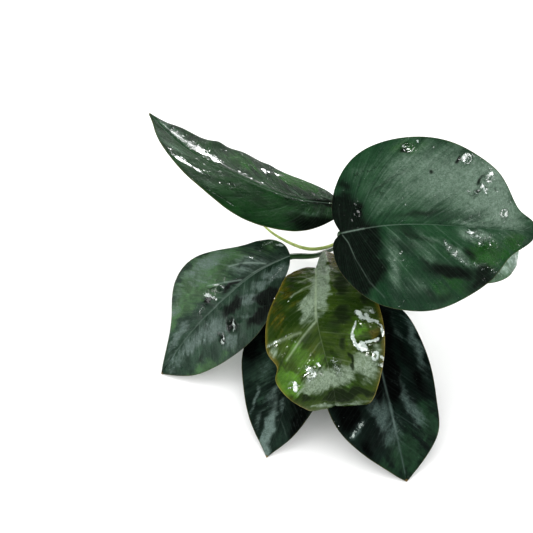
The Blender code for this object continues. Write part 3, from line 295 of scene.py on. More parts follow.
def relief(spec, blade, x, y, v, phase, spacing):
    """Height of the leaf's own texture above its smooth surface, mm."""
    noise = Noise(spec["seed"])
    share = np.clip(x / blade.reach, 0, 1)
    out = np.abs(y)
    free = smoothstep(0.0, 0.25, v)
    h = -(0.14 - 0.10 * share) * np.exp(-(y / 0.34)**2)
    h += (0.07 - 0.05 * share) * np.exp(-((out - 1.2) / 0.8)**2)
    cushion = np.abs(np.sin(math.pi * phase))**0.75
    soft = np.minimum(spec["quilt"], 0.06 * spacing)
    patch = 0.65 + 0.5 * noise(x / 13 + 7.1, y / 13 + 1.7)
    h += soft * patch * (cushion - 0.5) * smoothstep(0.02, 0.18, v) * (1 - 0.75 * smoothstep(0.72, 1.0, v))
    height, wave = spec["swell"]
    h += height * free * noise(x / wave + 3.3, y / wave + 9.2)
    h += 0.045 * noise(x / 4.2, y / 4.2 + 4.0) + 0.018 * noise(x / 1.7 + 5, y / 1.7)
    h -= 0.18 * smoothstep(0.93, 1.0, v)
    for side, amount, length, x0, x1 in spec.get("ripples", ()):
        on = (np.sign(y) == side) * smoothstep(x0 - 4, x0 + 8, x) * (1 - smoothstep(x1 - 8, x1 + 4, x))
        h += on * amount * smoothstep(0.35, 1.0, v) * np.sin(2 * math.pi * (x + 2.5 * noise(x / 17, 0 * y + side)) / length)
    for x0, y0, x1, y1, amount, width in spec.get("creases", ()):
        h += amount * np.exp(-(segment_distance(x, y, x0, y0, x1, y1) / width)**2)
    for x0, y0, x1, y1, slope, soft_mm, far in spec.get("bends", ()):
        length = math.hypot(x1 - x0, y1 - y0)
        away = ((x - x0) * (y1 - y0) - (y - y0) * (x1 - x0)) / length
        ramp = soft_mm * np.logaddexp(0, away / soft_mm)
        ramp = far * np.tanh(ramp / far)
        along = ((x - x0) * (x1 - x0) + (y - y0) * (y1 - y0)) / length
        h += slope * ramp * (1 - smoothstep(0.6 * length, 1.15 * length, along))
    for cx, cy, radius, depth in spec.get("pits", ()):
        away = np.hypot(x - cx, 1.2 * (y - cy)) / radius + 0.25 * noise(x / 1.1 + cx, y / 1.1)
        h += depth * (0.35 * np.exp(-((away - 1.5) / 0.45)**2) - np.exp(-away**2))
    for cx, cy, radius, width, height in spec.get("rings", ()):
        away = np.hypot(x - cx, y - cy) - radius * (1 + 0.34 * noise((x - cx) / 3.2 + 3, (y - cy) / 3.2))
        h += height * np.exp(-(away / width)**2) * (0.8 + 0.5 * noise(x / 1.3, y / 1.3 + cy))
    for cx, cy, radius, amount, wave in spec.get("crinkles", ()):
        near = np.exp(-(((x - cx)**2 + (y - cy)**2) / radius**2))
        h += amount * near * noise(x / wave + cx, 0.55 * y / wave + cy)
    return h


def leaf_mesh(name, spec):
    blade = Blade(spec)
    rows = np.arange(1, ROWS) / ROWS
    rows = rows + 0.06 * np.sin(2 * math.pi * rows) / (2 * math.pi)
    cells = np.arange(-COLUMNS, COLUMNS + 1)
    v = np.abs(cells) / COLUMNS
    v = np.where(v > 0, v, 0.0)
    U, V = np.meshgrid(rows, v, indexing="ij")
    side = np.sign(cells) + (cells == 0)
    root = blade.reach * U**spec["sweep"]
    X, Y = np.zeros_like(U), np.zeros_like(U)
    width = np.zeros_like(U)
    for s in (1, -1):
        fine, length = blade.margin[s]
        edge = sample(fine, length, rows * length[-1])
        on = side == s
        # side veins leave the rib steeply and bow toward the tip
        bow = 0.10 * (V[:, on] - V[:, on]**2) * edge[:, 1][:, None] * smoothstep(0, 0.4, U[:, on]) * (1 - U[:, on]**3)
        X[:, on] = root[:, on] + (edge[:, 0][:, None] - root[:, on]) * V[:, on] - bow
        Y[:, on] = s * edge[:, 1][:, None] * V[:, on]
        width[:, on] = np.hypot(edge[:, 0][:, None] - root[:, on], edge[:, 1][:, None])
    phase = spec["veins"] * (0.35 * U + 0.65 * U**1.25) + np.where(side < 0, 0.37, 0.0)[None, :]
    dphase = np.gradient(phase, axis=0)
    du = np.stack([np.gradient(X, axis=0), np.gradient(Y, axis=0)], -1)
    dv = np.stack([np.gradient(X, axis=1), np.gradient(Y, axis=1)], -1)
    dv /= np.maximum(np.linalg.norm(dv, axis=-1, keepdims=True), 1e-9)
    spacing = np.abs(du[..., 0] * dv[..., 1] - du[..., 1] * dv[..., 0]) / np.maximum(dphase, 1e-6)
    spacing = np.clip(spacing, 0.05, 12)
    h = relief(spec, blade, X, Y, V, phase, spacing)
    base = blade.surface(X, Y)
    normal = blade.normal(X, Y)
    share = np.clip(X / blade.reach, 0, 1)
    half = 0.5 * (0.26 + 0.34 * (1 - smoothstep(0.55, 1.0, V)))
    rib = (0.85 - 0.65 * share) * np.exp(-(Y / (0.95 - 0.35 * share))**2)
    vein_rib = 0.06 * np.exp(-(np.abs((phase + 0.5) % 1 - 0.5) * spacing / 0.35)**2) * (1 - V)
    top = base + normal * (h + half)[..., None]
    low = base + normal * (h - half - rib - vein_rib)[..., None]
    low[..., 2] = np.maximum(low[..., 2], 0.02)
    top[..., 2] = np.maximum(top[..., 2], 0.10)
    ends = []
    for x in (0.0, blade.reach):
        n = blade.normal(np.array([x]), np.array([0.0]))[0]
        p = blade.surface(np.array([x]), np.array([0.0]))[0]
        thick = 0.3 if x == 0 else 0.11
        ends.append((p + n * thick * 0.6, p - n * (thick * 1.6 if x == 0 else thick)))
    across = len(cells)
    count = top.shape[0] * across
    points = np.concatenate([top.reshape(-1, 3), low.reshape(-1, 3), [ends[0][0], ends[1][0], ends[0][1], ends[1][1]]])
    points[:, 2] = np.maximum(points[:, 2], 0.02)
    index = np.arange(count).reshape(-1, across)
    quads, tris = [], []
    a, b, c, d = index[:-1, :-1], index[1:, :-1], index[1:, 1:], index[:-1, 1:]
    quads.append(np.stack([a, b, c, d], -1).reshape(-1, 4))
    quads.append(np.stack([a, d, c, b], -1).reshape(-1, 4) + count)
    left, right = index[:, 0], index[:, -1]
    quads.append(np.stack([left[:-1], left[:-1] + count, left[1:] + count, left[1:]], -1))
    quads.append(np.stack([right[1:], right[1:] + count, right[:-1] + count, right[:-1]], -1))
    f, g = 2 * count, 2 * count + 1
    tris.append(np.stack([np.full(across - 1, f), index[0, :-1], index[0, 1:]], -1))
    tris.append(np.stack([np.full(across - 1, g), index[-1, 1:], index[-1, :-1]], -1))
    tris.append(np.stack([np.full(across - 1, f + 2), index[0, 1:] + count, index[0, :-1] + count], -1))
    tris.append(np.stack([np.full(across - 1, g + 2), index[-1, :-1] + count, index[-1, 1:] + count], -1))
    quads.append(np.array([[f, f + 2, left[0] + count, left[0]], [right[0], right[0] + count, f + 2, f],
                           [left[-1], left[-1] + count, g + 2, g], [g, g + 2, right[-1] + count, right[-1]]]))
    quads, tris = np.concatenate(quads), np.concatenate(tris)
    mesh = bpy.data.meshes.new(name)
    mesh.from_pydata(((points - CENTRE) * MM).tolist(), [], quads.tolist() + tris.tolist())
    mesh.shade_smooth()

    ragged = Noise(spec["seed"] + 40)
    WX = X + 1.5 * ragged(X / 5.5, Y / 5.5) + 0.6 * ragged(X / 1.9 + 9, Y / 1.9)
    WY = Y + 1.3 * ragged(X / 5.0 + 21, Y / 5.0 + 5) + 0.5 * ragged(X / 1.7, Y / 1.7 + 17)

    def patches(key):
        value = np.zeros_like(X)
        for cx, cy, rx, ry, turn, amount in spec.get(key, ()):
            c, n = math.cos(math.radians(turn)), math.sin(math.radians(turn))
            along, aside = (WX - cx) * c + (WY - cy) * n, (WY - cy) * c - (WX - cx) * n
            value = np.maximum(value, amount * np.exp(-((along / rx)**2 + (aside / ry)**2)))
        return value
    wet = patches("wet")
    for cx, cy, radius, ring_width, _ in spec.get("rings", ()):
        away = np.hypot(X - cx, Y - cy) - radius
        wet = np.maximum(wet, 0.95 * np.exp(-(away / (0.9 * ring_width))**2))
    line = np.zeros_like(X)
    for x0, y0, x1, y1, line_width, amount in spec.get("streaks", ()):
        line = np.maximum(line, amount * np.exp(-(segment_distance(X, Y, x0, y0, x1, y1) / line_width)**2))
    painted_glints = np.zeros_like(X)
    for x0, y0, x1, y1, line_width, amount in spec.get("painted_glints", ()):
        painted_glints = np.maximum(painted_glints, amount * np.exp(-(segment_distance(0.6 * X + 0.4 * WX, 0.6 * Y + 0.4 * WY, x0, y0, x1, y1) / line_width)**2))
    edge_mm = (1 - V) * width
    tip_mm = np.hypot(X - blade.reach, Y)

    def both(values, at_base, at_tip):
        return np.concatenate([values.ravel(), values.ravel(), [at_base, at_tip, at_base, at_tip]])
    is_top = np.concatenate([np.ones(count), np.zeros(count), [1, 1, 0, 0]])
    store = {
        "leaf": (both(np.broadcast_to(U, X.shape), 0, 1), both(V, 0, 0), is_top),
        "flat": (both(X, 0, blade.reach), both(Y, 0, 0), both(phase, 0, spec["veins"])),
        "more": (both(edge_mm, 0.5, 0), both(spacing, 0.05, 0.05), both(tip_mm, blade.reach, 0)),
        "film": (both(wet, 0, 0), both(line, 0, 0), both(share, 0, 1)),
        "paint": (both(patches("painted_sheen"), 0, 0), both(patches("dark"), 0, 0), both(patches("green"), 0, 0)),
        "tint": (both(patches("warm"), 0, 0), both(h, 0, 0), both(painted_glints, 0, 0)),
    }
    for key, parts in store.items():
        layer = mesh.attributes.new(key, "FLOAT_VECTOR", "POINT")
        layer.data.foreach_set("vector", np.stack(parts, -1).astype(np.float32).ravel())
    # one flat island for each face of the blade, so that a bake keeps the veins
    uv = mesh.uv_layers.new(name="OFBake")
    loops = np.zeros(len(mesh.loops), np.int32)
    mesh.loops.foreach_get("vertex_index", loops)
    xs, ys = both(X, 0, blade.reach), both(Y, 0, 0)
    low_x, high_x, low_y, high_y = xs.min(), xs.max(), ys.min(), ys.max()
    span = max(high_x - low_x, 2 * (high_y - low_y) * 1.02)
    spot = np.stack([(ys - low_y) / span * 0.98 + 0.005, (xs - low_x) / span * 0.98 + 0.005], -1)
    spot[is_top < 0.5, 0] = 0.995 - spot[is_top < 0.5, 0]
    uv.data.foreach_set("uv", spot[loops].astype(np.float32).ravel())
    return mesh, blade


# ---- materials -------------------------------------------------------------------
class Tree:
    """Short calls for building one node material."""

    def __init__(self, name):
        self.material = bpy.data.materials.new(name)
        self.material.use_nodes = True
        self.nodes = self.material.node_tree.nodes
        self.links = self.material.node_tree.links
        self.shader = self.nodes["Principled BSDF"]
        self.material.node_tree.nodes["Material Output"].location = (600, 0)

    def put(self, socket, value):
        if isinstance(value, bpy.types.NodeSocket):
            self.links.new(value, socket)
        elif isinstance(value, (tuple, list)) and len(value) == 3 and socket.type == "RGBA":
            socket.default_value = (*value, 1.0)
        else:
            socket.default_value = value

    def math(self, kind, a, b=0.0, c=0.0, clamp=False):
        node = self.nodes.new("ShaderNodeMath")
        node.operation, node.use_clamp = kind, clamp
        for socket, value in zip(node.inputs, (a, b, c)):
            self.put(socket, value)
        return node.outputs[0]

    def step(self, value, low, high, a=0.0, b=1.0):
        node = self.nodes.new("ShaderNodeMapRange")
        node.interpolation_type = "SMOOTHSTEP"
        for key, item in (("Value", value), ("From Min", low), ("From Max", high), ("To Min", a), ("To Max", b)):
            self.put(node.inputs[key], item)
        return node.outputs["Result"]

    def mix(self, share, a, b):
        node = self.nodes.new("ShaderNodeMix")
        node.data_type = "RGBA"
        self.put(node.inputs[0], share)
        self.put(node.inputs[6], a)
        self.put(node.inputs[7], b)
        return node.outputs[2]

    def vector(self, key):
        node = self.nodes.new("ShaderNodeAttribute")
        node.attribute_name = key
        split = self.nodes.new("ShaderNodeSeparateXYZ")
        self.links.new(node.outputs["Vector"], split.inputs[0])
        return split.outputs

    def join(self, x, y, z=0.0):
        node = self.nodes.new("ShaderNodeCombineXYZ")
        for socket, value in zip(node.inputs, (x, y, z)):
            self.put(socket, value)
        return node.outputs[0]

    def noise(self, place, scale, detail=3.0, rough=0.55, warp=0.0):
        node = self.nodes.new("ShaderNodeTexNoise")
        self.put(node.inputs["Vector"], place)
        node.inputs["Scale"].default_value = scale
        node.inputs["Detail"].default_value = detail
        node.inputs["Roughness"].default_value = rough
        node.inputs["Distortion"].default_value = warp
        return node.outputs["Fac"]

    def cells(self, place, scale, feature="DISTANCE_TO_EDGE"):
        node = self.nodes.new("ShaderNodeTexVoronoi")
        node.feature = feature
        self.put(node.inputs["Vector"], place)
        node.inputs["Scale"].default_value = scale
        return node.outputs["Distance"]

    def bump(self, height, depth_mm=1.0, strength=1.0):
        node = self.nodes.new("ShaderNodeBump")
        node.inputs["Strength"].default_value = strength
        node.inputs["Distance"].default_value = depth_mm * MM
        self.put(node.inputs["Height"], height)
        return node.outputs["Normal"]


TONES = {   # skin colours: deep, mid, pale lines, painted sheen (a grey reflection), saturated green, underside, dry roughness
    "dark": dict(deep=(0.0036, 0.0160, 0.0055), mid=(0.0120, 0.0520, 0.0130), light=(0.150, 0.230, 0.170), painted_sheen=(0.085, 0.145, 0.100), green=(0.0150, 0.0950, 0.0080), under=(0.045, 0.100, 0.040), rough=0.28),
    "leafy": dict(deep=(0.0100, 0.0260, 0.0160), mid=(0.0320, 0.0700, 0.0430), light=(0.230, 0.310, 0.260), painted_sheen=(0.115, 0.160, 0.142), green=(0.0660, 0.1450, 0.0600), under=(0.050, 0.110, 0.045), rough=0.30),
    "broad": dict(deep=(0.0060, 0.0260, 0.0120), mid=(0.0160, 0.0600, 0.0240), light=(0.180, 0.245, 0.200), painted_sheen=(0.134, 0.194, 0.148), green=(0.0120, 0.0780, 0.0090), under=(0.050, 0.110, 0.045), rough=0.27),
    "black": dict(deep=(0.0022, 0.0060, 0.0044), mid=(0.0070, 0.0190, 0.0130), light=(0.110, 0.155, 0.140), painted_sheen=(0.085, 0.125, 0.112), green=(0.0170, 0.0480, 0.0240), under=(0.030, 0.068, 0.032), rough=0.30),
    "slate": dict(deep=(0.0050, 0.0110, 0.0080), mid=(0.0170, 0.0340, 0.0240), light=(0.150, 0.200, 0.180), painted_sheen=(0.140, 0.195, 0.175), green=(0.0280, 0.0560, 0.0380), under=(0.030, 0.068, 0.032), rough=0.30),
    "young": dict(deep=(0.0130, 0.0320, 0.0030), mid=(0.0500, 0.0850, 0.0090), light=(0.290, 0.360, 0.240), painted_sheen=(0.210, 0.270, 0.200), green=(0.0850, 0.1950, 0.0200), under=(0.120, 0.170, 0.035), rough=0.28),
    "pale": dict(deep=(0.0360, 0.0850, 0.0420), mid=(0.0950, 0.1900, 0.1050), light=(0.300, 0.400, 0.310), painted_sheen=(0.330, 0.430, 0.370), green=(0.0450, 0.1200, 0.0420), under=(0.090, 0.150, 0.070), rough=0.28),
}


def leaf_material(name, spec):
    tone = TONES[spec["tone"]]
    t = Tree(name)
    u, v, top = t.vector("leaf")
    x, y, phase = t.vector("flat")
    edge, spacing, tip = t.vector("more")
    wet, line, share = t.vector("film")
    painted_sheen, dark, green = t.vector("paint")
    warm, height, painted_glints = t.vector("tint")
    shift = spec["seed"] * 1.37
    flat = t.join(x, y, shift)
    half = t.math("ADD", t.math("SIGN", y), shift)
    # streaks that run along the side veins, broad and fine
    streak = t.noise(t.join(t.math("MULTIPLY", phase, 2.1), t.math("MULTIPLY", v, 1.5), half), 1.0, 5.0, 0.62, 0.35)
    fibre = t.noise(t.join(t.math("MULTIPLY", phase, 7.5), t.math("MULTIPLY", v, 3.6), t.math("ADD", half, 2.0)), 1.0, 4.0, 0.62, 0.3)
    broad = t.noise(flat, 0.060, 3.0, 0.55, 0.5)
    blot = t.noise(flat, 0.22, 4.0, 0.62, 0.7)
    fine = t.noise(flat, 0.90, 5.0, 0.64, 0.4)
    grain = t.noise(flat, 4.5, 3.0, 0.6)
    crinkle = t.noise(flat, 0.95, 6.0, 0.72, 1.5)
    # distance to the nearest side vein, and to the nearest of the finer ones between
    off = t.math("MULTIPLY", t.math("ABSOLUTE", t.math("SUBTRACT", t.math("FRACT", t.math("ADD", phase, 0.5)), 0.5)), spacing)
    fade = t.math("MULTIPLY", t.step(v, 0.95, 0.40), t.step(spacing, 0.15, 1.2))
    fade = t.math("MULTIPLY", fade, t.step(streak, 0.38, 0.60))
    vein = t.math("MULTIPLY", t.step(off, 0.42, 0.06), fade)
    small = t.math("FRACT", t.math("ADD", t.math("MULTIPLY", phase, 5.0), 0.5))
    off_small = t.math("MULTIPLY", t.math("ABSOLUTE", t.math("SUBTRACT", small, 0.5)), t.math("MULTIPLY", spacing, 0.2))
    minor = t.math("MULTIPLY", t.step(off_small, 0.16, 0.02), t.step(spacing, 0.8, 2.5))
    rib = t.step(t.math("ABSOLUTE", y), t.step(share, 0.0, 1.0, 0.36, 0.16), 0.05)
    wave = t.math("ADD", t.math("MULTIPLY", t.math("SUBTRACT", streak, 0.5), 1.1), t.math("MULTIPLY", t.math("SUBTRACT", blot, 0.5), 0.6))
    wave = t.math("ADD", wave, t.math("MULTIPLY", t.math("SUBTRACT", fibre, 0.5), 1.1))
    soft = spec.get("soft", 0.0)
    wave = t.math("MULTIPLY", wave, 1.0 - 0.28 * soft)

    def mask(value, reach=1.0):
        """A patch whose border follows the streaks of the skin."""
        return t.step(t.math("ADD", value, t.math("MULTIPLY", wave, reach)), 0.34, 0.80)

    amount = t.step(t.math("ADD", t.math("MULTIPLY", streak, 0.6), t.math("MULTIPLY", broad, 0.5)), 0.40, 0.75)
    colour = t.mix(amount, tone["deep"], tone["mid"])
    colour = t.mix(mask(green, 0.8), colour, t.mix(t.step(blot, 0.30, 0.72), tuple(c * 0.55 for c in tone["green"]), tone["green"]))
    # painted sheen: the veil patches lighten the colour toward a grey reflection, broken by the crinkle noise
    painted_sheen_mask = t.math("MULTIPLY", t.step(t.math("ADD", painted_sheen, t.math("MULTIPLY", wave, t.step(painted_sheen, 0.05, 0.4))), 0.26 - 0.16 * soft, 0.86 + 0.30 * soft), t.step(crinkle, 0.38, 0.60, 0.52, 1.0))
    colour = t.mix(painted_sheen_mask, colour, tone["painted_sheen"])
    if spec["tone"] == "young":
        olive = t.math("MULTIPLY", mask(warm, 0.9), 0.85)
        colour = t.mix(olive, colour, t.mix(t.step(fine, 0.35, 0.65), (0.040, 0.030, 0.002), (0.115, 0.098, 0.006)))
        colour = t.mix(t.math("MULTIPLY", t.step(edge, 1.9, 0.15), t.step(x, 50.0, 30.0, 0.15, 0.60)), colour, (0.150, 0.110, 0.012))
    # painted shade: the dark patches take the colour near black where shadow and dark reflections fall, in part darker
    # skin at the base
    painted_shade_mask = t.math("MULTIPLY", t.step(t.math("ADD", dark, t.math("MULTIPLY", wave, t.step(dark, 0.05, 0.5, 0.0, 0.50))), 0.36 - 0.20 * soft, 0.66 + 0.20 * soft), 0.95)
    colour = t.mix(painted_shade_mask, colour, tuple(c * (0.45 if spec["tone"] == "young" else 0.12) for c in tone["deep"]))
    mottle = t.step(fine, 0.44, 0.72)
    colour = t.mix(t.math("MULTIPLY", mottle, 0.32), colour, tone["deep"])
    # fine pale crinkle marks, stronger inside the painted sheen
    colour = t.mix(t.math("MULTIPLY", t.step(t.math("ADD", t.math("MULTIPLY", fibre, 0.55), t.math("MULTIPLY", crinkle, 0.45)), 0.54, 0.72), t.math("ADD", t.math("MULTIPLY", painted_sheen_mask, 0.42), 0.10)), colour, tone["light"])
    colour = t.mix(t.math("MULTIPLY", vein, t.math("SUBTRACT", 0.12, t.math("MULTIPLY", painted_shade_mask, 0.10))), colour, tone["light"])
    colour = t.mix(t.math("MULTIPLY", minor, 0.03), colour, tone["light"])
    colour = t.mix(t.math("MULTIPLY", rib, t.step(share, 0.0, 0.8, 0.34, 0.06)), colour, tone["light"])
    colour = t.mix(t.math("MULTIPLY", line, t.step(t.math("ADD", blot, t.math("MULTIPLY", fine, 0.4)), 0.40, 0.80, 0.45, 1.0)), colour, tone["light"])
    # painted glints: white broken highlight marks drawn along the foam lines, which also get a coat and a slight bump
    painted_glint_mask = t.step(t.math("ADD", painted_glints, t.math("MULTIPLY", t.math("SUBTRACT", crinkle, 0.5), 2.2)), 0.42, 0.62)
    painted_glint_mask = t.math("MULTIPLY", painted_glint_mask, t.step(painted_glints, 0.06, 0.22))
    colour = t.mix(t.math("MULTIPLY", painted_glint_mask, 0.85), colour, (0.560, 0.640, 0.600))
    # tiny pale specks
    spots = t.nodes.new("ShaderNodeTexVoronoi")
    t.put(spots.inputs["Vector"], flat)
    spots.inputs["Scale"].default_value = 0.42
    speck = t.math("MULTIPLY", t.step(spots.outputs["Distance"], 0.060, 0.030), t.step(t.noise(flat, 0.35, 1.0), 0.52, 0.56))
    colour = t.mix(t.math("MULTIPLY", speck, 0.55), colour, tone["light"])
    back = t.mix(t.step(streak, 0.35, 0.70), tone["under"], tuple(c * 0.6 for c in tone["under"]))
    back = t.mix(t.math("MULTIPLY", t.math("MAXIMUM", vein, t.math("MAXIMUM", rib, minor)), 0.40), back, tuple(c * 1.9 for c in tone["under"]))
    back = t.mix(t.math("MULTIPLY", mottle, 0.25), back, tone["mid"])
    colour = t.mix(top, back, colour)
    # painted edge highlight: a thin pale rim along the margin
    pale = (0.110, 0.110, 0.050) if spec["tone"] != "young" else (0.300, 0.240, 0.070)
    colour = t.mix(t.math("MULTIPLY", t.step(edge, 0.34, 0.06), t.step(blot, 0.35, 0.60, 0.25, 0.70)), colour, pale)
    colour = t.mix(t.step(t.math("ADD", tip, t.math("MULTIPLY", fine, 1.0)), 1.8, 0.9), colour, (0.170, 0.115, 0.040))
    t.put(t.shader.inputs["Base Color"], colour)

    # a thin film of water in patches: smooth, raised at its rim and broken into beads
    pull = spec.get("pull", 1.0)
    ragged = t.noise(t.join(t.math("DIVIDE", x, pull), t.math("MULTIPLY", y, pull), shift), 0.80, 5.0, 0.68, 0.9)
    film = t.step(t.math("ADD", t.math("MULTIPLY", wet, 0.52), t.math("MULTIPLY", t.math("SUBTRACT", ragged, 0.5), 2.4)), 0.34, 0.46)
    film_top = t.math("MULTIPLY", film, top)
    damp = t.step(t.math("ADD", t.math("MULTIPLY", blot, 0.50), t.math("MULTIPLY", fibre, 0.55)), 0.46, 0.66)
    rough = t.math("SUBTRACT", tone["rough"] + 0.07, t.math("MULTIPLY", damp, 0.14))
    rough = t.math("ADD", rough, t.math("MULTIPLY", t.math("SUBTRACT", fine, 0.5), 0.20))
    rough = t.math("ADD", rough, t.math("MULTIPLY", painted_shade_mask, 0.45))
    rough = t.math("ADD", rough, t.math("MULTIPLY", t.math("SUBTRACT", 1.0, top), 0.14))
    t.put(t.shader.inputs["Roughness"], t.math("MAXIMUM", rough, 0.09))
    t.shader.inputs["IOR"].default_value = 1.45
    t.shader.inputs["Specular IOR Level"].default_value = spec["shine"]
    t.put(t.shader.inputs["Coat Weight"], t.math("MAXIMUM", film_top, t.math("MULTIPLY", painted_glint_mask, top)))
    t.shader.inputs["Coat Roughness"].default_value = 0.07
    t.shader.inputs["Coat IOR"].default_value = 1.8

    skin = t.math("MULTIPLY", grain, 0.012)
    skin = t.math("ADD", skin, t.math("MULTIPLY", fine, 0.075))
    skin = t.math("ADD", skin, t.math("MULTIPLY", blot, 0.16))
    skin = t.math("ADD", skin, t.math("MULTIPLY", fibre, 0.075))
    skin = t.math("ADD", skin, t.math("MULTIPLY", crinkle, 0.17 - 0.10 * soft))
    skin = t.math("ADD", skin, t.math("MULTIPLY", painted_glint_mask, 0.10))
    skin = t.math("SUBTRACT", skin, t.math("MULTIPLY", vein, 0.035))
    skin = t.math("SUBTRACT", skin, t.math("MULTIPLY", minor, 0.008))
    beads = t.math("MULTIPLY", t.noise(flat, 0.95, 3.0, 0.55, 1.4), 0.34)
    water = t.math("ADD", t.math("MULTIPLY", film_top, 0.16), t.math("MULTIPLY", t.math("MULTIPLY", film_top, t.step(wet, 0.15, 0.6)), beads))
    skin = t.math("ADD", t.math("MULTIPLY", skin, t.math("SUBTRACT", 1.0, t.math("MULTIPLY", film_top, 0.5))), water)
    t.put(t.shader.inputs["Normal"], t.bump(skin))
    return t.material


def stem_material(name, deep, mid, light, rough, bump_mm, scale=0.5, coat=0.15):
    """Skin of a stalk, stem or root; `tube` holds length mm, turn, share."""
    t = Tree(name)
    s, turn, share = t.vector("tube")
    spot = t.nodes.new("ShaderNodeTexCoord").outputs["Object"]
    place = t.nodes.new("ShaderNodeVectorMath")
    place.operation = "SCALE"
    t.links.new(spot, place.inputs[0])
    place.inputs["Scale"].default_value = 1000.0
    place = place.outputs[0]
    lines = t.noise(t.join(t.math("MULTIPLY", s, 0.10), t.math("MULTIPLY", turn, 3.2), 0.0), 1.0, 4.0, 0.6)
    patch = t.noise(place, scale * 0.35, 3.0, 0.55, 0.4)
    fine = t.noise(place, scale * 3.0, 4.0, 0.6)
    colour = t.mix(t.step(patch, 0.35, 0.68), deep, mid)
    colour = t.mix(t.math("MULTIPLY", t.step(lines, 0.50, 0.75), 0.45), colour, light)
    colour = t.mix(t.math("MULTIPLY", t.step(fine, 0.55, 0.80), 0.30), colour, deep)
    t.put(t.shader.inputs["Base Color"], colour)
    t.put(t.shader.inputs["Roughness"], t.math("ADD", rough - 0.08, t.math("MULTIPLY", fine, 0.18)))
    t.shader.inputs["Coat Weight"].default_value = coat
    t.shader.inputs["Coat Roughness"].default_value = 0.2
    height = t.math("ADD", t.math("MULTIPLY", lines, bump_mm), t.math("MULTIPLY", fine, bump_mm * 0.6))
    t.put(t.shader.inputs["Normal"], t.bump(height))
    return t.material


# ---- tubes -----------------------------------------------------------------------
def tube_arrays(points, radii, rings, sides, shape=None, power=0.75):
    """Vertices (mm), faces and (length, turn, share) of a capped tapering tube.
    `shape(share, turn, length)` scales the radius."""
    fine, length = path(points, power)
    share = np.linspace(0, 1, rings)
    at = share * length[-1]
    spots = sample(fine, length, at)
    tangent = np.gradient(spots, axis=0)
    tangent /= np.linalg.norm(tangent, axis=1)[:, None]
    width = stations([float(r) for r in radii], share)
    up = np.array([0.0, 0.0, 1.0]) if abs(tangent[0, 2]) < 0.9 else np.array([1.0, 0.0, 0.0])
    normals = np.zeros_like(spots)
    n = up - up.dot(tangent[0]) * tangent[0]
    for i in range(rings):
        n = n - n.dot(tangent[i]) * tangent[i]
        n /= np.linalg.norm(n)
        normals[i] = n
    side = np.cross(tangent, normals)
    turn = 2 * math.pi * np.arange(sides) / sides
    S, T = np.meshgrid(share, turn, indexing="ij")
    scale = shape(S, T, S * length[-1]) if shape else np.ones_like(S)
    r = width[:, None] * scale
    body = spots[:, None] + r[..., None] * (np.cos(T)[..., None] * normals[:, None] + np.sin(T)[..., None] * side[:, None])
    points = np.concatenate([body.reshape(-1, 3), [spots[0] - tangent[0] * width[0] * 0.35, spots[-1] + tangent[-1] * width[-1] * 0.8]])
    index = np.arange(rings * sides).reshape(rings, sides)
    nxt = np.roll(index, -1, axis=1)
    faces = np.stack([index[:-1], index[1:], nxt[1:], nxt[:-1]], -1).reshape(-1, 4).tolist()
    a, b = rings * sides, rings * sides + 1
    faces += [[a, index[0, k], nxt[0, k]] for k in range(sides)]
    faces += [[b, nxt[-1, k], index[-1, k]] for k in range(sides)]
    info = np.stack([S * length[-1], np.sin(T), S], -1).reshape(-1, 3)
    info = np.concatenate([info, [[0, 0, 0], [length[-1], 0, 1]]])
    return points, faces, info


def mesh_object(name, parts, look, replaces, floor=0.02):
    points, faces, info, start = [], [], [], 0
    for p, f, i in parts:
        points.append(p)
        faces += [[k + start for k in face] for face in f]
        info.append(i)
        start += len(p)
    points, info = np.concatenate(points), np.concatenate(info)
    points[:, 2] = np.maximum(points[:, 2], floor)
    mesh = bpy.data.meshes.new(name)
    mesh.from_pydata(((points - CENTRE) * MM).tolist(), [], faces)
    mesh.shade_smooth()
    layer = mesh.attributes.new("tube", "FLOAT_VECTOR", "POINT")
    layer.data.foreach_set("vector", info.astype(np.float32).ravel())
    return piece(name, mesh, look, replaces)


def piece(name, mesh, look, replaces):
    made = bpy.data.objects.new(name, mesh)
    mesh.materials.append(look)
    bpy.context.scene.collection.objects.link(made)
    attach(made, "root")
    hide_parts(replaces)
    return made


STALKS = {   # path from the blade to the rhizome; radius at the blade, middle, sheath
    "tall_left": ([(31, -3, 37), (39, 3, 22), (44.5, 6.8, 12), (45.5, 7.5, 8)], (1.1, 1.1, 2.0)),
    "broad_top": ([(29, -29, 52), (40, -13, 32), (48, 0, 16), (50.5, 4.5, 9)], (1.15, 1.15, 2.0)),
    "low_left": ([(15.6, -22.6, 35.0), (21, -17.6, 31), (33, -4.5, 20), (40.5, 3.5, 9.5)], (1.1, 0.88, 1.9)),
    "young_front": ([(19.5, -26.5, 31.5), (26, -19.5, 22), (33, -9, 13), (38.5, -1.8, 8.4)], (0.95, 0.95, 1.7)),
    "front_left": ([(16, -23, 13.2), (28, -14.5, 11), (42, -8, 8), (50, -1.5, 5.6)], (1.0, 1.0, 1.9)),
    "front_right": ([(40, -25, 18), (47, -15, 15), (54, -6, 11), (57, -0.5, 7)], (1.05, 1.05, 2.0)),
    "small_right": ([(61.5, -17.2, 31), (63, -9.5, 19.5), (65.5, -2, 11), (66, 1.5, 8)], (0.85, 0.95, 1.6)),
}
RHIZOME_LINE = [(36, 3, 5.6), (46, 6, 5.0), (58, 7, 4.6), (70, 5, 4.4), (80, 1, 4.2)]
RHIZOME_RADIUS = [3.4, 4.9, 5.2, 4.8, 3.6]
GROWING_TIP_LINE = [(34.0, 2.4, 6.4), (32.0, 1.6, 8.2), (31.2, 0.4, 12.0)]
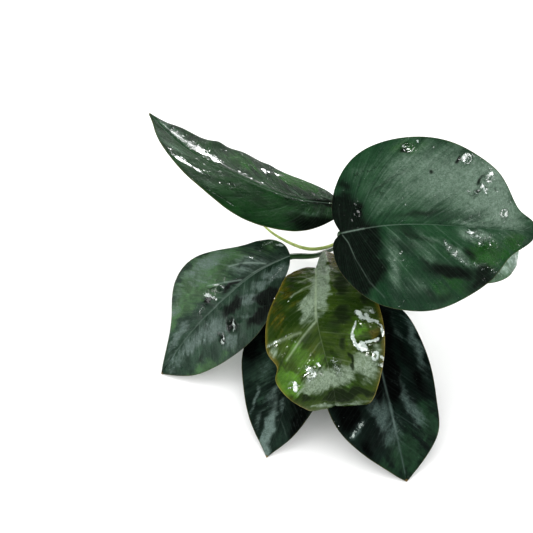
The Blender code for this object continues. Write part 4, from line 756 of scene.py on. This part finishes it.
ROOTS = {
    "root_pale_left": ([(37.0, 7.0, 5.6), (31.5, 7.2, 7.4), (26.0, 4.4, 8.0), (17.3, 2.4, 8.0), (8.9, 7.3, 6.0), (0.2, 17.1, 3.0), (-7.0, 31.0, 0.7)], 0.70, 0.36),
    "root_back_1": ([(42, 10.5, 4.0), (40, 17, 2.2), (38, 26, 0.9), (42, 37, 0.8), (40, 48, 0.8)], 0.85, 0.55),
    "root_back_2": ([(48, 12.2, 3.4), (49, 21, 1.4), (48, 33, 0.9), (51, 47, 0.8), (49, 58, 0.8)], 0.90, 0.55),
    "root_back_3": ([(55, 13.2, 3.2), (57, 22, 1.2), (57, 36, 0.9), (64, 47, 0.8), (62, 58, 0.8)], 0.90, 0.55),
    "root_back_4": ([(62, 12.8, 3.2), (67, 20, 1.2), (72, 31, 0.9), (73, 42, 0.8), (80, 50, 0.8)], 0.90, 0.55),
    "root_back_5": ([(70, 10.4, 3.2), (78, 16, 1.2), (85, 22, 0.9), (89, 32, 0.8), (88, 40, 0.8)], 0.85, 0.55),
    "root_end": ([(82.8, 1.0, 3.6), (87, 2.5, 1.6), (92, 6, 0.9), (95, 13, 0.8), (93, 20, 0.8)], 0.80, 0.50),
    "root_front": ([(72, -1.2, 2.6), (74, -5, 1.1), (78.5, -7.6, 0.9), (83, -7.0, 0.8), (86, -3.6, 0.8)], 0.85, 0.50),
}


def build_leaves():
    for name, spec in LEAVES.items():
        mesh, blade = leaf_mesh("blade_" + name, spec)
        look = leaf_material("leaf_skin_" + name, spec)
        piece("visual_leaf_" + name, mesh, look, "leaf_" + name)
        spec["blade"] = blade


def build_stalks():
    looks = {
        "green": stem_material("stalk_skin", (0.012, 0.045, 0.012), (0.030, 0.090, 0.024), (0.090, 0.170, 0.055), 0.34, 0.06, 0.6, 0.35),
        "young": stem_material("stalk_skin_young", (0.080, 0.130, 0.020), (0.150, 0.220, 0.045), (0.260, 0.330, 0.110), 0.34, 0.05, 0.6, 0.35),
    }
    for name, (points, (top, middle, sheath)) in STALKS.items():
        blade = LEAVES[name]["blade"]
        ends = []
        for x, drop in ((5.0, 0.55), (2.2, 0.60), (0.2, 0.85), (-1.4, 1.6)):
            point, _, _, normal = blade.frame(np.array([x]))
            ends.append(point[0] - normal[0] * drop)
        line = ends + [np.array(p, float) for p in points]
        neck = top / middle

        def shape(s, turn, length, neck=neck):
            merge = smoothstep(0.0, 0.10, s)
            knee = 1 + 0.10 * np.exp(-((s - 0.17) / 0.06)**2)
            channel = 1 - 0.10 * np.exp(-((turn - 0.0) / 0.7)**2) - 0.10 * np.exp(-((turn - 2 * math.pi) / 0.7)**2)
            wobble = 1 + 0.03 * np.sin(9 * s + 2 * np.cos(turn)) + 0.015 * np.sin(31 * s + 3 * np.sin(turn))
            return (0.42 + 0.58 * merge) * knee * channel * wobble
        arrays = tube_arrays(line, (top, middle, middle, sheath), 90, 20, shape)
        look = looks["young" if name == "young_front" else "green"]
        mesh_object("visual_stalk_" + name, [arrays], look, "stalk_" + name)


def build_rhizome():
    look = stem_material("rhizome_skin", (0.030, 0.036, 0.010), (0.075, 0.100, 0.026), (0.170, 0.180, 0.070), 0.48, 0.25, 0.5, 0.10)
    noise = Noise(77)

    def shape(s, turn, length):
        ends = np.sin(math.pi * np.minimum(0.5, 0.10 + 4.0 * np.minimum(s, 1 - s)))
        wave = np.cos(2 * math.pi * 7 * s)
        rings = 0.055 * wave * np.minimum(1, 8 * np.minimum(s, 1 - s))
        scar = 0.05 * np.exp(-((wave - 0.55) / 0.16)**2)
        fine = 0.035 * noise(length / 1.9, 2.6 * np.cos(turn) + 7) + 0.02 * noise(length / 0.6 + 9, 4 * np.sin(turn))
        return ends + rings - scar + fine
    arrays = tube_arrays(RHIZOME_LINE, RHIZOME_RADIUS, 150, 56, shape)
    mesh_object("visual_rhizome", [arrays], look, "rhizome", 0.0)

    look = stem_material("growing_tip_skin", (0.060, 0.100, 0.020), (0.120, 0.180, 0.045), (0.240, 0.300, 0.110), 0.36, 0.05, 0.7, 0.3)

    def rolled(s, turn, length):
        seam = 1 - 0.22 * np.exp(-(((turn - 1.5 - 2.2 * s + 0.0) / 0.28)**2))
        return seam * (1 + 0.04 * np.cos(3 * turn + 5 * s))
    line = [(35.6, 2.9, 5.4)] + GROWING_TIP_LINE
    arrays = tube_arrays(line, (2.1, 2.0, 1.5, 0.35), 60, 28, rolled)
    mesh_object("visual_growing_tip", [arrays], look, "growing_tip")


def build_roots():
    brown = stem_material("root_skin", (0.045, 0.036, 0.016), (0.120, 0.100, 0.045), (0.260, 0.230, 0.120), 0.50, 0.08, 1.2, 0.08)
    pale = stem_material("pale_root_skin", (0.200, 0.270, 0.060), (0.330, 0.400, 0.130), (0.520, 0.560, 0.260), 0.36, 0.04, 1.0, 0.25)
    noise = Noise(91)
    dice = np.random.default_rng(12)
    for k, (name, (points, start, end)) in enumerate(ROOTS.items()):
        fresh = name == "root_pale_left"
        inner = np.array(points[0], float)
        into = np.array([inner[0], inner[1] * 0.6 + 2.0, inner[2] + 0.6]) if not fresh else np.array([39.5, 6.6, 5.4])
        line = [into] + [np.array(p, float) for p in points]

        def shape(s, turn, length, k=k, fresh=fresh):
            tip = 0.15 + 0.85 * np.clip((1 - s) / 0.30, 0, 1)**0.6
            lump = 0.05 if fresh else 0.13
            return tip * (1 + lump * noise(length / 2.3 + 5 * k, 1.2 * np.cos(turn)) + 0.04 * noise(length / 0.7, 2 * np.sin(turn) + k))
        parts = [tube_arrays(line, (start, start, (start + end) / 2, end), 150, 14, shape)]
        if not fresh:
            fine, length = path(line)
            for j in range(6):
                at = (0.30 + 0.10 * j + 0.05 * dice.random()) * length[-1]
                spot = sample(fine, length, np.array([at]))[0]
                ahead = sample(fine, length, np.array([at + 1.0]))[0] - spot
                turn = (1 if j % 2 else -1) * (0.7 + 0.5 * dice.random())
                way = np.array([ahead[0] * math.cos(turn) - ahead[1] * math.sin(turn), ahead[0] * math.sin(turn) + ahead[1] * math.cos(turn), 0.0])
                way /= np.linalg.norm(way)
                reach = (3.0 + 5.0 * dice.random()) * (1.15 - at / length[-1])
                bend = np.array([-way[1], way[0], 0.0]) * (dice.random() - 0.5) * 0.9 * reach
                end_spot = spot + way * reach + bend
                end_spot[2] = 0.18
                mid = (spot + end_spot) / 2 - bend * 0.4
                mid[2] = min(spot[2], 0.5)
                parts.append(tube_arrays([spot, mid, end_spot], (0.20, 0.15, 0.11, 0.03), 22, 8))
        mesh_object("visual_" + name, parts, pale if fresh else brown, name)


# ---- floor, light and camera -------------------------------------------------------
def build_stage():
    mesh = bpy.data.meshes.new("floor")
    s = 3.0
    mesh.from_pydata([(-s, -s, 0), (s, -s, 0), (s, s, 0), (-s, s, 0)], [], [(0, 1, 2, 3)])
    floor = bpy.data.objects.new("floor", mesh)
    bpy.context.scene.collection.objects.link(floor)
    t = Tree("floor_paper")
    spot = t.nodes.new("ShaderNodeTexCoord").outputs["Object"]
    grey = t.noise(spot, 3.0, 2.0, 0.5)
    t.put(t.shader.inputs["Base Color"], t.mix(grey, (0.90, 0.90, 0.90), (0.92, 0.92, 0.92)))
    t.shader.inputs["Roughness"].default_value = 0.9
    t.shader.inputs["Specular IOR Level"].default_value = 0.1
    mesh.materials.append(t.material)


def area_light(name, azimuth, elevation, away, width, height, radiance, aim=(0.0, 0.0, 0.04), sheen_only=False, fill_only=False):
    """A soft panel facing the plant. Azimuth 0 is behind it (+Y) and 90 is on its right (+X).
    Some panels only light the surfaces and some are only seen mirrored in them."""
    data = bpy.data.lights.new(name, "AREA")
    data.shape = "RECTANGLE"
    data.size, data.size_y = width, height
    data.energy = radiance * math.pi * width * height
    lamp = bpy.data.objects.new(name, data)
    turn, rise = math.radians(azimuth), math.radians(elevation)
    out = Vector((math.sin(turn) * math.cos(rise), math.cos(turn) * math.cos(rise), math.sin(rise)))
    lamp.location = Vector(aim) + out * away
    lamp.rotation_euler = out.to_track_quat("Z", "Y").to_euler()
    lamp.visible_camera = False
    lamp.visible_diffuse = not sheen_only
    lamp.visible_glossy = not fill_only
    bpy.context.scene.collection.objects.link(lamp)
    return lamp


def build_light():
    world = bpy.data.worlds.new("studio")
    bpy.context.scene.world = world
    world.use_nodes = True
    world.node_tree.nodes["Background"].inputs["Color"].default_value = (1.0, 1.0, 1.0, 1.0)
    world.node_tree.nodes["Background"].inputs["Strength"].default_value = 0.70
    world.cycles_visibility.glossy = False
    area_light("key", -30, 62, 1.2, 1.10, 1.10, 2.1, fill_only=True)
    area_light("fill_right", 115, 38, 1.2, 1.00, 0.70, 1.8, fill_only=True)
    area_light("fill_left", -105, 35, 1.2, 1.00, 0.70, 1.7, fill_only=True)
    area_light("fill_front", 180, 50, 1.2, 1.00, 0.60, 1.1, fill_only=True)
    area_light("sheen_right", 126, 29, 1.0, 0.62, 0.34, 5.5, sheen_only=True)
    area_light("sheen_front", 172, 44, 1.0, 0.46, 0.12, 5.0, sheen_only=True)
    area_light("sheen_left", -120, 14, 1.0, 0.44, 0.30, 2.6, sheen_only=True)
    area_light("sheen_back", 10, 3, 1.0, 0.20, 0.40, 4.0, sheen_only=True)
    area_light("glint_right", 112, 40, 1.0, 0.16, 0.10, 22.0, sheen_only=True)
    area_light("glint_back", 16, 2, 1.0, 0.12, 0.14, 22.0, sheen_only=True)
    area_light("glint_front", -172, 60, 1.0, 0.16, 0.10, 22.0, sheen_only=True)


def build_camera():
    data = bpy.data.cameras.new("camera")
    data.lens, data.sensor_width = 65.0, 36.0
    camera = bpy.data.objects.new("camera", data)
    target = Vector((0.0, 0.0, 0.0)) - Vector(CENTRE.tolist()) * MM
    rise = math.radians(52.0)
    back = Vector((0.0, -math.cos(rise), math.sin(rise)))
    camera.location = target + back * 0.380
    camera.rotation_euler = back.to_track_quat("Z", "Y").to_euler()
    bpy.context.scene.collection.objects.link(camera)
    bpy.context.scene.camera = camera


build_leaves()
build_stalks()
build_rhizome()
build_roots()
build_stage()
build_light()
build_camera()
bpy.context.scene.view_settings.view_transform = "Standard"
bpy.context.scene.view_settings.look = "Medium High Contrast"
